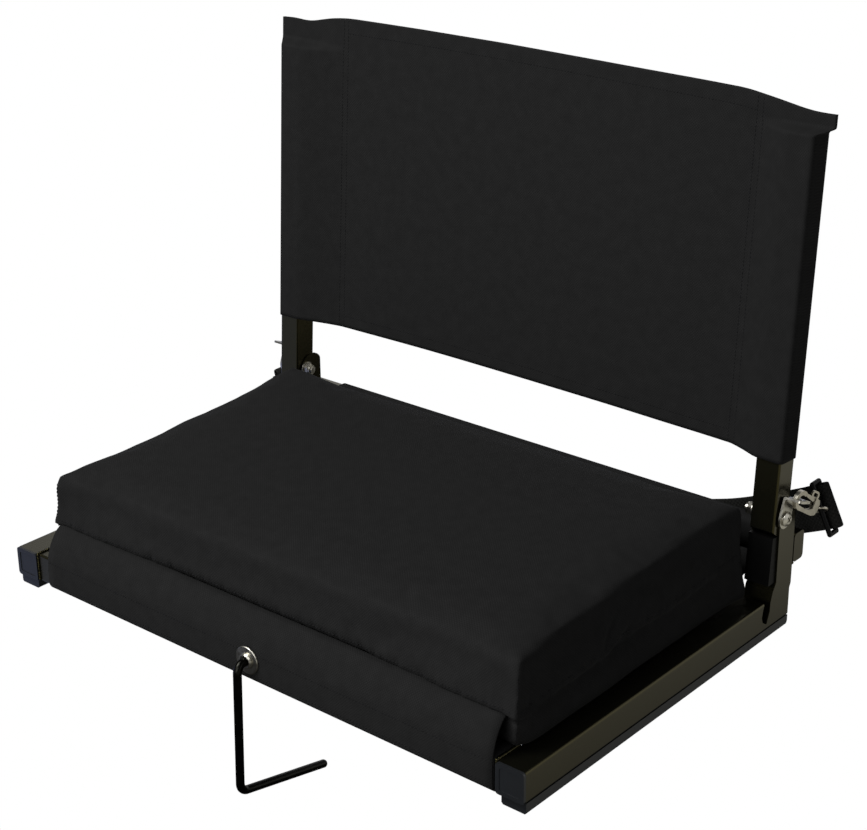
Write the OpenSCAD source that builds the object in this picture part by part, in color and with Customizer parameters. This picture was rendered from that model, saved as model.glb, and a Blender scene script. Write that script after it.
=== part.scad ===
// Folding bleacher chair: two side frames of square tube, a boxed seat cushion on a fabric
// sling, a fabric back on two folding posts, a sprung bench hook and a clip-on carry strap.
// Millimetres. X runs across the chair, Y to the rear, Z up. The origin is in the middle of
// the plane that the skid strips rest on.

/* [Side frames] */
// Width over both side rails
frame_w = 550.8; // [450:1:700]
// Length of a side rail, front to rear
rail_len = 353.5; // [300:0.5:450]
// Side of the square rail tube
rail_tube = 25.4; // [20:0.1:35]
// Wall of the rail tube
rail_wall = 1.5; // [1:0.1:2.5]
// Outer corner radius of the rail tube
rail_round = 2; // [0.5:0.1:4]
// Thickness of the flange on a rail's end plug
plug_flange = 2.4; // [1:0.1:5]
// Depth that a plug goes into its tube
plug_depth = 14; // [8:1:25]
// Height of a skid strip
strip_h = 9; // [5:0.5:15]
// Width of a skid strip
strip_w = 22; // [15:0.5:25]

/* [Hinge channels] */
// Height of the hinge channel over the rail's underside
channel_h = 107; // [90:1:140]
// How far the channel's back stands behind the rail's end
channel_step = 3.3; // [1:0.1:6]
// Radius on the top corners of the channel's side walls
channel_round = 12; // [4:0.5:12]
// Height up to which the channel keeps its front wall
front_wall_h = 38; // [30:0.5:50]
// Height of the hinge bolt over the rail's underside
hinge_h = 94; // [80:0.5:110]
// Diameter of the hinge bolt
bolt_d = 6; // [5:0.5:8]
// Diameter of the bolt's head
bolt_head_d = 12; // [9:0.5:14]
// Height of the bolt's head
bolt_head_h = 3.4; // [2:0.1:5]
// Width of the lock nut over its flats
nut_af = 10; // [8:0.5:14]
// Height of the lock nut
nut_h = 6; // [4:0.5:9]
// Lean of the back at rest, in degrees
recline = 3.7; // [0:0.1:15]

/* [Cross tubes] */
// Height of the rear cross tube's underside over the rail's underside
rear_tube_z = 46; // [35:0.5:60]
// Depth of the rear cross tube
rear_tube_d = 15; // [12:0.5:25.4]
// Height of the rear cross tube
rear_tube_h = 25.4; // [20:0.1:30]
// Wall of the cross tubes
cross_wall = 1.5; // [1:0.1:2.5]
// Distance of the front cross tube behind the front of the rails
front_tube_y = 2.4; // [2:0.1:10]

/* [Back] */
// Side of the square back post
post_tube = 22.2; // [18:0.1:22.2]
// Wall of the back post
post_wall = 1.2; // [1:0.1:2]
// Length of the post above the hinge bolt
post_up = 305; // [250:1:400]
// Length of the post below the hinge bolt
post_down = 15; // [13:0.1:17]
// Height of the panel's lower hem above the hinge bolt, along the post
panel_low = 50; // [40:1:80]
// Height of the panel's upper hem above the hinge bolt, along the post
panel_high = 338; // [300:1:420]
// Thickness of one layer of the back's fabric
back_cloth = 1.3; // [0.8:0.1:2]
// Width of a sleeve's flat side, from its outer edge to its seam
sleeve_w = 52; // [40:1:70]
// How far the upper hem's corners stand out past the sleeves
ear_out = 13; // [0:1:20]

/* [Seat] */
// How much narrower the seat cushion is than the space between the rails
cushion_side = 7; // [5:0.5:60]
// Gap between the cushion and the hinge channels behind it
cushion_back = 26.4; // [16:0.1:60]
// Height of the cushion's border, without the crown
cushion_h = 71; // [50:1:90]
// Height of the crown over the border
cushion_crown = 5; // [2:0.5:12]
// Distance of the cushion behind the front of the rails
cushion_y = 19; // [17:0.5:25]
// Rise of the cushion from front to rear
cushion_rise = 10; // [0:0.5:15]
// Growth of the cushion's thickness from front to rear
cushion_grow = 4; // [0:0.5:6]
// Height of the border seam over the cushion's underside
seam_h = 25; // [15:0.5:40]
// Sideways offset of the sewn seat from the middle of the frame
seat_shift = 8; // [0:0.5:8]
// How much narrower the fabric sling is than the space between the rails
sling_side = 20; // [17:0.5:80]
// Thickness of the sling's fabric
sling_cloth = 1.4; // [0.8:0.1:2]

/* [Bench hook] */
// Diameter of the hook's bar
hook_d = 7; // [6:0.1:9]
// Sideways offset of the hook from the middle of the frame
hook_x = 7; // [0:0.5:20]
// Height of the hook's axis over the rail's underside
hook_z = 17.5; // [16:0.1:18]
// Drop of the hook's foot below its axis, at the front
hook_drop = 114; // [80:1:140]
// Length of the hook's foot
hook_foot = 98; // [60:1:120]
// Slope of the hook's foot, in degrees
foot_slope = 12.8; // [0:0.1:20]
// Outward lean of the hook's leg, in degrees
leg_lean = 2.1; // [0:0.1:6]
// Travel of the hook out of the frame
hook_travel = 25; // [10:1:30]
// Free length of the spring as fitted
spring_len = 48; // [40:1:60]
// Wire of the spring
spring_wire = 1.4; // [1:0.1:1.6]
// Number of curls of the spring
spring_turns = 12; // [6:1:16]

/* [Carry strap] */
// Width of the webbing
strap_w = 38; // [25:1:40]
// Thickness of the webbing
strap_t = 1.8; // [1.2:0.1:2.5]
// Slope of the webbing at its ends, in degrees
strap_slope = 26; // [20:0.5:40]
// Bar of the strap ring
ring_bar = 4.2; // [3:0.1:5]
// Lean of the strap tab about the hinge bolt, in degrees
tab_lean = 20; // [0:1:30]
// Thickness of the strap tab
tab_t = 1.8; // [1.2:0.1:2.5]
// Width of the strap tab
tab_w = 17; // [14:0.5:22]
// Bar of the snap hook
snap_bar = 3.6; // [3:0.1:4.5]
// Distance from the tab's rim to the strap ring's bar along the snap
snap_len = 35; // [30:0.5:45]

/* [Hidden] */
$fn = 48;
// running clearance of a pin in its bore, on the radius
run_gap = 0.05;
// gap between a soft piece and what it lies against
soft_gap = 0.3;
// overlap that makes a cut go right through
cut = 1;

rail_x = (frame_w - rail_tube) / 2;            // middle of a rail
inner_x = frame_w / 2 - rail_tube;             // inboard face of a rail
bore_w = rail_tube - 2 * rail_wall;            // space between a channel's walls
rear_y = rail_len + channel_step;              // rear face of the channel
wall_front_y = rear_y - rail_tube;             // front edge of the channel's side walls
post_half = post_tube / 2;
corner_reach = sqrt(post_half * post_half + post_down * post_down);
fold_gap = 0.35;                               // clearance of the post's rear corner as it folds
hinge_y = rear_y - rail_wall - corner_reach - fold_gap;
origin_y = rail_len / 2;                       // middle of the skid strips
bolt_r = bolt_d / 2;
washer_t = 1.2;
notch_y = rail_len - 38;                       // front lip of the V-notch
fold_y = rail_len - 33.5;                      // root of the V-notch
stop_gap = 0.3;                                // between the stop block and the post

// sling and cushion
sleeve_gap = 0.3;
seat_x = seat_shift;
sling_t = sling_cloth / 2;
sling_w = 2 * inner_x - sling_side;
cushion_w = 2 * inner_x - cushion_side;
cushion_d = wall_front_y - cushion_back - cushion_y;
cushion_b = cushion_d / 2;
cushion_z = rail_tube + 1.1;
cushion_foot = 9;                              // width of the round on the cushion's lower edge
sew = 0.1;                                     // how deep two cloths lie in each other at a seam
sling_y0 = front_tube_y + rail_tube / 2;
sling_z0 = rail_tube + sleeve_gap + sling_t - sew;
sling_y1 = rear_y + rear_tube_d / 2;
sling_z1 = rear_tube_z - sleeve_gap - sling_t + sew;
skirt_y = front_tube_y - sleeve_gap - sling_cloth - sling_t;

// bench hook, in the plane of its bar: u to the rear, v up
hook_r = hook_d / 2;
bend_r = 7.5;
corner_r = 9;
front_face_y = skirt_y - sling_t;              // front of the skirt where the hook comes out
cup_h = 2.4;
cup_r = 6.6;
grommet_t = 1.5;
grommet_r = 11.8;
hook_gap = 0.3;
weld = 0.3;                                    // overlap of a straight piece with its bends
bar_r = hook_r - 0.02;                         // so that the overlap lies inside the bend
hook_clear = 0.25;
spring_seat_y = front_tube_y + rail_tube + sleeve_gap + sling_cloth;
spring_seat_t = 1.2;
spring_y0 = spring_seat_y + spring_seat_t;
spring_r = hook_r + hook_clear + 0.15 + spring_wire / 2;
thrust_y = spring_y0 + spring_len;
thrust_t = 1.2;
hook_nut_y = thrust_y + thrust_t;
hook_nut_t = 5;
hook_end_y = hook_nut_y + hook_nut_t + 4;
bend_y = front_face_y - grommet_t - cup_h - hook_gap;  // where the bar starts to bend
leg_len = hook_drop - bend_r - corner_r;

// strap tab, snap and ring: B is the rim of the ear, N the near bar of the ring
ear_h = 17;
rim_w = 5.5;                                   // width of the rim, a round bar's arc at each edge
rim_b = (tab_w - rim_w) / 2;
ear_len = 12;
ear_y = hinge_y + rim_b * cos(tab_lean) + ear_h * sin(tab_lean);
ear_z = hinge_h + ear_h * cos(tab_lean) - rim_b * sin(tab_lean);
ear_x = frame_w / 2 + 7.6;
// [left, right]: the left snap hangs beside its channel, the right one lies back
snap_pitch = [68, 32];                         // fall of a snap to the rear
snap_yaw = [12, 6.4];                          // turn of a snap outboard
ring_turn = 15;                                // turn of the left ring, its front end outboard
ring_lift = 10;                                // rise of its bars to the rear
ring_roll = 12;                                // roll that leans the webbing inboard as it falls
nose_in = 4.6;
nose_out = nose_in + snap_bar;
eye_wire = 1.15;                               // radius of the swivel eye's wire
eye_mid = 5.1;                                 // middle of that wire
eye_r = eye_mid + eye_wire;
ring_half = strap_w / 2 + 0.6 + ring_bar / 2;  // middle of the ring's end bars
lay_gap = 0.5;                                 // between the strap and what it lies on
function of_side(s, pair) = pair[s < 0 ? 0 : 1];
// a snap's own axes, drawn for the right: along it, across it upward, and through it
function snap_along(s) = let (p = of_side(s, snap_pitch), y = of_side(s, snap_yaw))
  [cos(p) * sin(y), cos(p) * cos(y), -sin(p)];
function snap_up(s) = let (p = of_side(s, snap_pitch), y = of_side(s, snap_yaw))
  [sin(p) * sin(y), sin(p) * cos(y), cos(p)];
function snap_through(s) = let (y = of_side(s, snap_yaw)) [cos(y), -sin(y), 0];
// a ring's axes: along its bars, from bar to bar, and out through the webbing's fold
left_side = [cos(ring_turn), sin(ring_turn), 0];
left_top = [sin(ring_turn) * sin(ring_lift), -cos(ring_turn) * sin(ring_lift), cos(ring_lift)];
function ring_along(s) = of_side(s, [
  [sin(ring_turn) * cos(ring_lift), -cos(ring_turn) * cos(ring_lift), -sin(ring_lift)],
  [sin(strap_slope), 0, -cos(strap_slope)]]);
function ring_across(s) = of_side(s, [cos(ring_roll) * left_side - sin(ring_roll) * left_top, [0, 1, 0]]);
function ring_out(s) = of_side(s, [sin(ring_roll) * left_side + cos(ring_roll) * left_top,
  [cos(strap_slope), 0, sin(strap_slope)]]);
// the eye turns as square to the ring's bar as it goes, and the bar hangs at its far side,
// just clear of its wire
function eye_turn(s) = atan2(-ring_along(s) * snap_up(s), ring_along(s) * snap_through(s));
function eye_back(s) = eye_mid - (ring_bar / 2 + eye_wire + 0.1)
  / sqrt(1 - pow(ring_along(s) * snap_along(s), 2));
eye_x = snap_len - eye_back(1);                // middle of the eye along the snap
body_end = eye_x - eye_r - soft_gap;
function ring_c(s) = [ear_x, ear_y, ear_z] + snap_along(s) * (eye_x + eye_back(s));
ring_x = ring_c(1)[0];
ring_y = ring_c(1)[1];
ring_z = ring_c(1)[2];
lay_out = eye_r + soft_gap + strap_t / 2 - 0.6;              // front layer past the near bar
ring_depth = lay_out + strap_t / 2 + lay_gap + ring_bar / 2; // between the ring's long bars

powder = [0.16, 0.16, 0.15];
plastic = [0.09, 0.09, 0.09];
cloth = [0.13, 0.13, 0.135];
cushion_cloth = [0.12, 0.12, 0.125];
zinc = [0.80, 0.79, 0.74];
steel = [0.62, 0.61, 0.58];
web = [0.07, 0.07, 0.07];

// HELPERS

// from the builder's datum (front and underside of the rails) to the part's origin
module placed() { translate([0, -origin_y, strip_h]) children(); }
// the same piece on the left (-1) or the right (1)
module side(s) { if (s < 0) mirror([1, 0, 0]) children(); else children(); }
// a side profile drawn in Y and Z, given a width along X from x0
module along_x(x0, w) {
  translate([x0, 0, 0]) rotate([90, 0, 90]) linear_extrude(height = w) children();
}
module round_square(a, b, r) {
  union() {
    square([a - 2 * r, b], center = true);
    square([a, b - 2 * r], center = true);
    for (i = [-1, 1]) for (j = [-1, 1])
      translate([i * (a / 2 - r), j * (b / 2 - r)]) circle(r = r);
  }
}
// hollow square section
module tube_section(a, b, t, r) {
  difference() {
    round_square(a, b, r);
    round_square(a - 2 * t, b - 2 * t, max(r - t, 0.3));
  }
}
// turns the back about its hinge axis, with the hinge at the origin of its children
module back_frame() {
  translate([0, hinge_y, hinge_h]) rotate([-recline, 0, 0]) children();
}
function flip(p) = [for (i = [len(p) - 1 : -1 : 0]) p[i]];
function unit(v) = v / norm(v);
// from a to b with a soft start and end, as f goes from 0 to 1
function ease(a, b, f) = let (k = min(max(f, 0), 1)) a + (b - a) * k * k * (3 - 2 * k);
// faces between rings of m points, closed at both ends by flat fans
function ring_faces(n, m) = [
  for (i = [0 : n - 2]) for (j = [0 : m - 1]) each [
    [i * m + j, i * m + (j + 1) % m, (i + 1) * m + (j + 1) % m],
    [i * m + j, (i + 1) * m + (j + 1) % m, (i + 1) * m + j]]];
function cap_faces(n, m) = [
  for (j = [1 : m - 2]) [0, j + 1, j],
  for (j = [1 : m - 2]) [(n - 1) * m, (n - 1) * m + j, (n - 1) * m + j + 1]];

// SIDE RAILS

// outline of a rail seen from its side, with the V-notch that lets it fold up
module rail_profile() {
  r = channel_round;
  difference() {
    union() {
      translate([plug_flange, 0]) square([rail_len - plug_flange, rail_tube]);
      translate([wall_front_y, r]) square([rail_tube, channel_h - 2 * r]);
      translate([wall_front_y + r, channel_h - 2 * r]) square([rail_tube - 2 * r, 2 * r]);
      for (i = [0, 1])
        translate([wall_front_y + r + i * (rail_tube - 2 * r), channel_h - r]) circle(r = r);
      // the fold's front, from the notch up to the front wall's edge
      polygon([[fold_y, 5], [fold_y + 4, 15], [fold_y + 4.3, 22.7], [fold_y + 7.2, 31.5],
        [wall_front_y, front_wall_h], [wall_front_y + 6, front_wall_h], [wall_front_y + 6, 5]]);
    }
    polygon([[notch_y, rail_tube + cut], [notch_y, rail_tube], [notch_y - 1.9, 20.8],
      [notch_y - 3.5, 14], [notch_y - 1.8, 9], [fold_y - 2.4, 6.2], [fold_y, 5],
      [fold_y + 4, 15], [fold_y + 4.3, 22.7], [fold_y + 5.2, rail_tube],
      [fold_y + 5.2, rail_tube + cut]]);
    // the channel's back starts behind the rail's closed end
    polygon([[rail_len, -cut], [rail_len, rail_tube - 0.4], [rear_y, rail_tube + 6.6],
      [rear_y + cut, rail_tube + 6.6], [rear_y + cut, -cut]]);
  }
}
// what is hollow inside a rail, seen from its side
module rail_hollow() {
  t = rail_wall;
  translate([-cut, t]) square([fold_y - 3 + cut, rail_tube - 2 * t]);
  translate([0, t]) square([fold_y + 6, 3]);
  polygon([[fold_y + 1.5, t], [rail_len - t, t], [rail_len - t, rail_tube - 0.9],
    [rear_y - t, rail_tube + 7.1], [rear_y - t, channel_h + cut],
    [wall_front_y - cut, channel_h + cut], [wall_front_y - cut, front_wall_h],
    [wall_front_y + t, front_wall_h], [fold_y + 8.6, 30.8], [fold_y + 5.8, 22.2],
    [fold_y + 5.5, 14.7], [fold_y + 1.5, 4.6]]);
}
module side_rail(s) {
  color(powder) placed() side(s) difference() {
    union() {
      intersection() {
        along_x(inner_x, rail_tube) rail_profile();
        translate([rail_x, 0, rail_tube / 2]) rotate([-90, 0, 0])
          linear_extrude(height = rear_y + cut) round_square(rail_tube, rail_tube, rail_round);
      }
      // above the rail only the channel's rear corners are round
      intersection() {
        along_x(inner_x, rail_tube) rail_profile();
        translate([rail_x, rear_y - rail_tube, rail_tube / 2])
          linear_extrude(height = channel_h) translate([0, rail_tube / 2])
            round_square(rail_tube, rail_tube, rail_round);
      }
      intersection() {
        along_x(inner_x, rail_tube) rail_profile();
        translate([inner_x, fold_y, rail_tube / 2])
          cube([rail_tube, rear_y - rail_round - fold_y, channel_h]);
      }
    }
    along_x(inner_x + rail_wall, bore_w) rail_hollow();
    translate([inner_x - cut, hinge_y, hinge_h]) rotate([0, 90, 0])
      cylinder(r = bolt_r + run_gap, h = rail_tube + 2 * cut);
  }
}

module rail_plug(s) {
  fit = bore_w - 0.2;
  color(plastic) placed() side(s) translate([rail_x, 0, rail_tube / 2]) rotate([-90, 0, 0]) {
    difference() {
      linear_extrude(height = plug_flange) round_square(rail_tube, rail_tube, rail_round + 0.6);
      // a shallow dish in the face
      translate([0, 0, -cut]) linear_extrude(height = cut + 0.5)
        round_square(rail_tube - 7, rail_tube - 7, 2);
    }
    translate([0, 0, plug_flange]) linear_extrude(height = plug_depth)
      tube_section(fit, fit, 2, 1);
  }
}

// a plastic strip with a rounded rear end and a chamfered inboard edge
module skid_strip(s) {
  y0 = plug_flange + 0.6;
  color(plastic) placed() side(s) intersection() {
    translate([0, y0, 0]) rotate([-90, 0, 0])
      linear_extrude(height = rail_len - y0)
        polygon([[frame_w / 2 - strip_w, 0], [frame_w / 2 - strip_w, strip_h - 1.5],
          [frame_w / 2 - strip_w + 1.5, strip_h], [frame_w / 2 - 1.2, strip_h],
          [frame_w / 2, strip_h - 1.2], [frame_w / 2, 0]]);
    along_x(inner_x - cut, rail_tube + 2 * cut) union() {
      translate([y0, -strip_h]) square([rail_len - y0 - strip_h / 2, strip_h]);
      translate([rail_len - strip_h / 2, -strip_h / 2]) circle(d = strip_h);
      translate([rail_len - strip_h, -strip_h / 2]) square([strip_h, strip_h / 2]);
    }
  }
}

// CROSS TUBES

module front_cross_tube() {
  color(powder) placed() difference() {
    translate([-inner_x, front_tube_y + rail_tube / 2, rail_tube / 2]) rotate([90, 0, 90])
      linear_extrude(height = 2 * inner_x)
        tube_section(rail_tube, rail_tube, cross_wall, rail_round);
    translate([hook_x, 0, hook_z]) rotate([-90, 0, 0])
      cylinder(r = hook_r + run_gap, h = front_tube_y + rail_tube + cut);
  }
}
module rear_cross_tube() {
  cap = 1.5;
  color(powder) placed() translate([0, rear_y + rear_tube_d / 2, rear_tube_z + rear_tube_h / 2])
    rotate([90, 0, 90]) {
      translate([0, 0, -frame_w / 2]) linear_extrude(height = frame_w)
        tube_section(rear_tube_d, rear_tube_h, cross_wall, 3.5);
      // welded end plates
      for (i = [-1, 1]) translate([0, 0, i * (frame_w - cap) / 2])
        linear_extrude(height = cap, center = true)
          round_square(rear_tube_d - cross_wall, rear_tube_h - cross_wall, 2.6);
    }
}

// HINGE

// stop block: its top is square to the post and takes the post's rear corner
module back_stop(s) {
  w = bore_w - 0.1;
  top = -post_down - stop_gap;
  lean = tan(recline);
  front_low = hinge_y - post_half / cos(recline) + (front_wall_h - hinge_h) * lean;
  color(plastic) placed() side(s) difference() {
    along_x(rail_x - w / 2, w) polygon([[front_low, front_wall_h],
      [rear_y - rail_wall, front_wall_h], [rear_y - rail_wall, hinge_h], [front_low + 4, hinge_h]]);
    translate([0, hinge_y, hinge_h]) rotate([-recline, 0, 0]) {
      translate([inner_x, -rail_tube, top]) cube([rail_tube, 3 * rail_tube, rail_tube * 2]);
      translate([inner_x, -post_half - rail_tube, -channel_h]) cube([rail_tube, rail_tube, channel_h]);
    }
  }
}

// pan-head screw with a cross recess, threaded end inboard
module hinge_bolt(s) {
  head_x = frame_w / 2 + tab_t;
  end_x = inner_x - washer_t - nut_h - 1.5;
  color(steel) placed() side(s) translate([0, hinge_y, hinge_h]) rotate([0, 90, 0]) difference() {
    union() {
      translate([0, 0, end_x]) cylinder(r = bolt_r, h = head_x - end_x);
      translate([0, 0, head_x]) cylinder(d = bolt_head_d, h = bolt_head_h * 0.45);
      translate([0, 0, head_x + bolt_head_h * 0.45])
        cylinder(d1 = bolt_head_d, d2 = bolt_head_d * 0.62, h = bolt_head_h * 0.55);
    }
    translate([0, 0, head_x + bolt_head_h]) for (i = [0, 90]) rotate([0, 0, i + 35])
      cube([bolt_head_d * 0.5, 1.2, bolt_head_h * 1.2], center = true);
  }
}
module hinge_nut(s) {
  color(steel) placed() side(s) translate([inner_x, hinge_y, hinge_h]) rotate([0, -90, 0])
    difference() {
      union() {
        cylinder(d = nut_af * 1.35, h = washer_t);
        translate([0, 0, washer_t]) cylinder(d = nut_af / cos(30), h = nut_h * 0.7, $fn = 6);
        translate([0, 0, washer_t + nut_h * 0.7]) cylinder(d = nut_af * 0.92, h = nut_h * 0.3);
      }
      translate([0, 0, -cut]) cylinder(r = bolt_r, h = nut_h + washer_t + 2 * cut);
    }
}

// bright plate under the bolt, with an ear bent outboard and slotted for the snap
slot_w = 8;
slot_l = 8.4;
rim_edge = 0.3;
module rim_bar(reach) {
  translate([0, rim_b, ear_h]) rotate([0, 90, 0]) cylinder(d = rim_w, h = reach + ear_len + cut);
}
module strap_tab(s) {
  x0 = frame_w / 2;
  low = tab_w / 2;
  color(zinc) placed() side(s) translate([x0, hinge_y, hinge_h]) rotate([-tab_lean, 0, 0])
    difference() {
      union() {
        // the oval on the wall
        intersection() {
          rotate([0, 90, 0]) cylinder(r = low, h = tab_t);
          translate([0, -low, -low]) cube([tab_t, tab_w, low + cut]);
        }
        translate([0, -low, 0]) cube([tab_t, tab_w, ear_h - tab_t / 2 - 1]);
        // the bend
        translate([0, -low, 0]) rotate([-90, 0, 0]) linear_extrude(height = tab_w)
          polygon([[0, -ear_h + tab_t / 2 + 1], [tab_t, -ear_h + tab_t / 2 + 1],
            [tab_t + 0.8, -ear_h + tab_t / 2], [tab_t + 3, -ear_h + tab_t / 2],
            [tab_t + 3, -ear_h - tab_t / 2], [1.6, -ear_h - tab_t / 2],
            [0, -ear_h + tab_t / 2 - 0.9]]);
        // the ear, its corners cut round
        translate([tab_t + 2, 0, ear_h - tab_t / 2]) linear_extrude(height = tab_t) {
          translate([0, -low]) square([ear_len - 3, tab_w]);
          translate([ear_len - 3 - cut / 2, 0])
            intersection() { round_square(7 + cut, tab_w, 3); translate([0, -low]) square([8, tab_w]); }
        }
      }
      // the slot leaves a rim whose edges are rounded about the line that the strap swings on
      difference() {
        translate([ear_x - x0, rim_b - (rim_w + slot_l) / 2, 0]) linear_extrude(height = 2 * ear_h)
          round_square(slot_w, slot_l + 2 * rim_edge, 1.5);
        rim_bar(low);
      }
      difference() {
        translate([tab_t + 3, rim_b, ear_h - tab_t]) cube([low + ear_len, low, 2 * tab_t]);
        rim_bar(low);
      }
      rotate([0, 90, 0]) translate([0, 0, -cut]) cylinder(r = bolt_r + run_gap, h = tab_t + 2 * cut);
    }
}

// SEAT

// a strip of cloth of even thickness along a line of points in Y and Z
function normals(p) = [for (i = [0 : len(p) - 1])
  let (a = p[max(i - 1, 0)], b = p[min(i + 1, len(p) - 1)], d = unit(b - a)) [-d[1], d[0]]];
function band(p, t) = let (n = normals(p))
  concat([for (i = [0 : len(p) - 1]) p[i] + n[i] * t / 2],
         [for (i = [len(p) - 1 : -1 : 0]) p[i] - n[i] * t / 2]);
// from the front tube's top, along the cushion's underside, up to the rear tube
function sling_under(y) = cushion_z - soft_gap - sling_t + lift(y - cushion_y - cushion_b);
function sling_line(n) = let (a = front_tube_y + rail_tube, b = cushion_y + cushion_d - cushion_foot)
  [for (i = [0 : n]) let (y = sling_y0 + (sling_y1 - sling_y0) * i / n)
    [y, y < b ? ease(sling_z0, sling_under(y), (y - sling_y0) / (a - sling_y0))
      : ease(sling_under(b) + (y - b) * cushion_rise / cushion_d, sling_z1, (y - b) / (sling_y1 - b))]];

// the inside of the sleeves round the two cross tubes, or with t = the cloth their outside
module sleeves(t) {
  g = 2 * (sleeve_gap + t);
  translate([sling_y0, rail_tube / 2]) round_square(rail_tube + g, rail_tube + g, rail_round + t);
  translate([sling_y1, rear_tube_z + rear_tube_h / 2])
    round_square(rear_tube_d + g, rear_tube_h + g, 3.5 + t);
}
module seat_sling() {
  color(cloth) placed() difference() {
    union() {
      along_x(seat_x - sling_w / 2, sling_w) sleeves(sling_cloth);
      along_x(seat_x - sling_w / 2, sling_w) polygon(band(sling_line(24), sling_cloth));
    }
    along_x(seat_x - sling_w / 2 - cut, sling_w + 2 * cut) sleeves(0);
    translate([hook_x, -cut, hook_z]) rotate([-90, 0, 0])
      cylinder(r = hook_r + hook_clear, h = rail_tube * 2);
  }
}
// front flap: sewn on the sleeve low down, free at the top where it meets the cushion's seam
module cushion_skirt() {
  y0 = skirt_y;
  top_y = cushion_y - seam_out - sling_t - soft_gap;
  top_z = cushion_z + seam_h;
  line = [[y0, 2], [y0, rail_tube + sling_cloth], [y0 + 0.3, top_z - 18.5], [y0 + 2.2, top_z - 11.5],
    [y0 + 5.6, top_z - 6], [y0 + 11, top_z - 1.6], [top_y, top_z]];
  color(cloth) placed() difference() {
    along_x(seat_x - sling_w / 2, sling_w) polygon(band(line, sling_cloth));
    translate([hook_x, -rail_tube, hook_z]) rotate([-90, 0, 0])
      cylinder(r = hook_r + hook_clear, h = rail_tube * 2);
  }
}

// boxed cushion: rings of a rounded outline, drawn in at the seam, bulged above it, crowned
seam_out = 0.7;
cushion_rings = [[34, 0], [cushion_foot, 0.6], [2.6, 5.4], [1.2, 13], [2.8, seam_h - 3],
  [-seam_out, seam_h - 1.5], [-seam_out, seam_h + 1.5], [2.8, seam_h + 3], [0.6, seam_h + 14],
  [0.4, cushion_h - 21], [1.6, cushion_h - 9], [5, cushion_h - 2.5], [11, cushion_h],
  [30, cushion_h + cushion_crown * 0.42], [62, cushion_h + cushion_crown * 0.78],
  [100, cushion_h + cushion_crown]];
corner_n = 5;
edge_n = 5;
// half outline sizes a and b, corner radius r, sides drawn in by w at their middles
function outline(a, b, r, w) = [for (q = [0 : 3])
  let (cx = (q == 0 || q == 3 ? 1 : -1) * (a - r), cy = (q < 2 ? 1 : -1) * (b - r),
       nx = (q == 3 || q == 2 ? 1 : -1) * (a - r), ny = (q == 0 || q == 3 ? 1 : -1) * (b - r))
    each concat(
      [for (k = [0 : corner_n]) let (t = 90 * q + 90 * k / corner_n)
        [cx + r * cos(t), cy + r * sin(t)]],
      [for (k = [1 : edge_n]) let (f = k / (edge_n + 1), s = w * sin(180 * f),
        x = cx + (nx - cx) * f, y = cy + (ny - cy) * f)
          q == 0 ? [x, b - s] : q == 1 ? [-a + s, y] : q == 2 ? [x, -b + s] : [a - s, y]])];
function lift(y) = cushion_rise * (y + cushion_b) / cushion_d;
function thick(h, y) = h * (1 + cushion_grow / cushion_h * (y + cushion_b) / cushion_d) + lift(y);
module seat_cushion() {
  a = cushion_w / 2;
  m = 4 * (corner_n + 1 + edge_n);
  n = len(cushion_rings);
  pts = [for (k = [0 : n - 1]) let (i = cushion_rings[k][0], h = cushion_rings[k][1],
      side_in = k > 1 && k < 12 ? 2.2 : 0)
    for (p = outline(a - i, cushion_b - i, max(14 - i, 4) + max(i - 10, 0) * 0.3, side_in))
      [p[0], p[1], thick(h, p[1])]];
  top = [[0, 0, thick(cushion_h + cushion_crown * 1.06, 0)], [0, 0, lift(0)]];
  color(cushion_cloth) placed() translate([seat_x + 1, cushion_y + cushion_b, cushion_z])
    polyhedron(points = concat(pts, top), faces = [for (f = concat(ring_faces(n, m),
      [for (j = [0 : m - 1]) [(j + 1) % m, j, n * m + 1]],
      [for (j = [0 : m - 1]) [(n - 1) * m + j, (n - 1) * m + (j + 1) % m, n * m]])) flip(f)]);
}

// BACK

module back_upright(s) {
  color(powder) placed() side(s) back_frame() difference() {
    translate([rail_x, 0, -post_down]) linear_extrude(height = post_down + post_up)
      tube_section(post_tube, post_tube, post_wall, 1.8);
    // the lower front corner is rounded about the bolt, so that the post folds forward
    difference() {
      translate([inner_x, -post_half - cut, -post_down - cut])
        cube([rail_tube, post_half + cut, post_down + cut]);
      translate([inner_x - cut, 0, 0]) rotate([0, 90, 0])
        cylinder(r = post_down, h = rail_tube + 2 * cut);
    }
    translate([inner_x, 0, 0]) rotate([0, 90, 0]) cylinder(r = bolt_r + run_gap, h = rail_tube);
  }
}
module upright_cap(s) {
  fit = post_tube - 2 * post_wall - 0.2;
  color(plastic) placed() side(s) back_frame() translate([rail_x, 0, post_up]) {
    linear_extrude(height = 2) round_square(post_tube, post_tube, 2);
    translate([0, 0, -12]) linear_extrude(height = 12) tube_section(fit, fit, 1.8, 0.8);
  }
}

sleeve_in = post_tube + 2 * soft_gap;
sleeve_out = sleeve_in + 2 * back_cloth;
seam_x = rail_x + sleeve_out / 2 - sleeve_w;       // the seam that closes a sleeve
sleeve_top = post_up + 2 + soft_gap;
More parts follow.
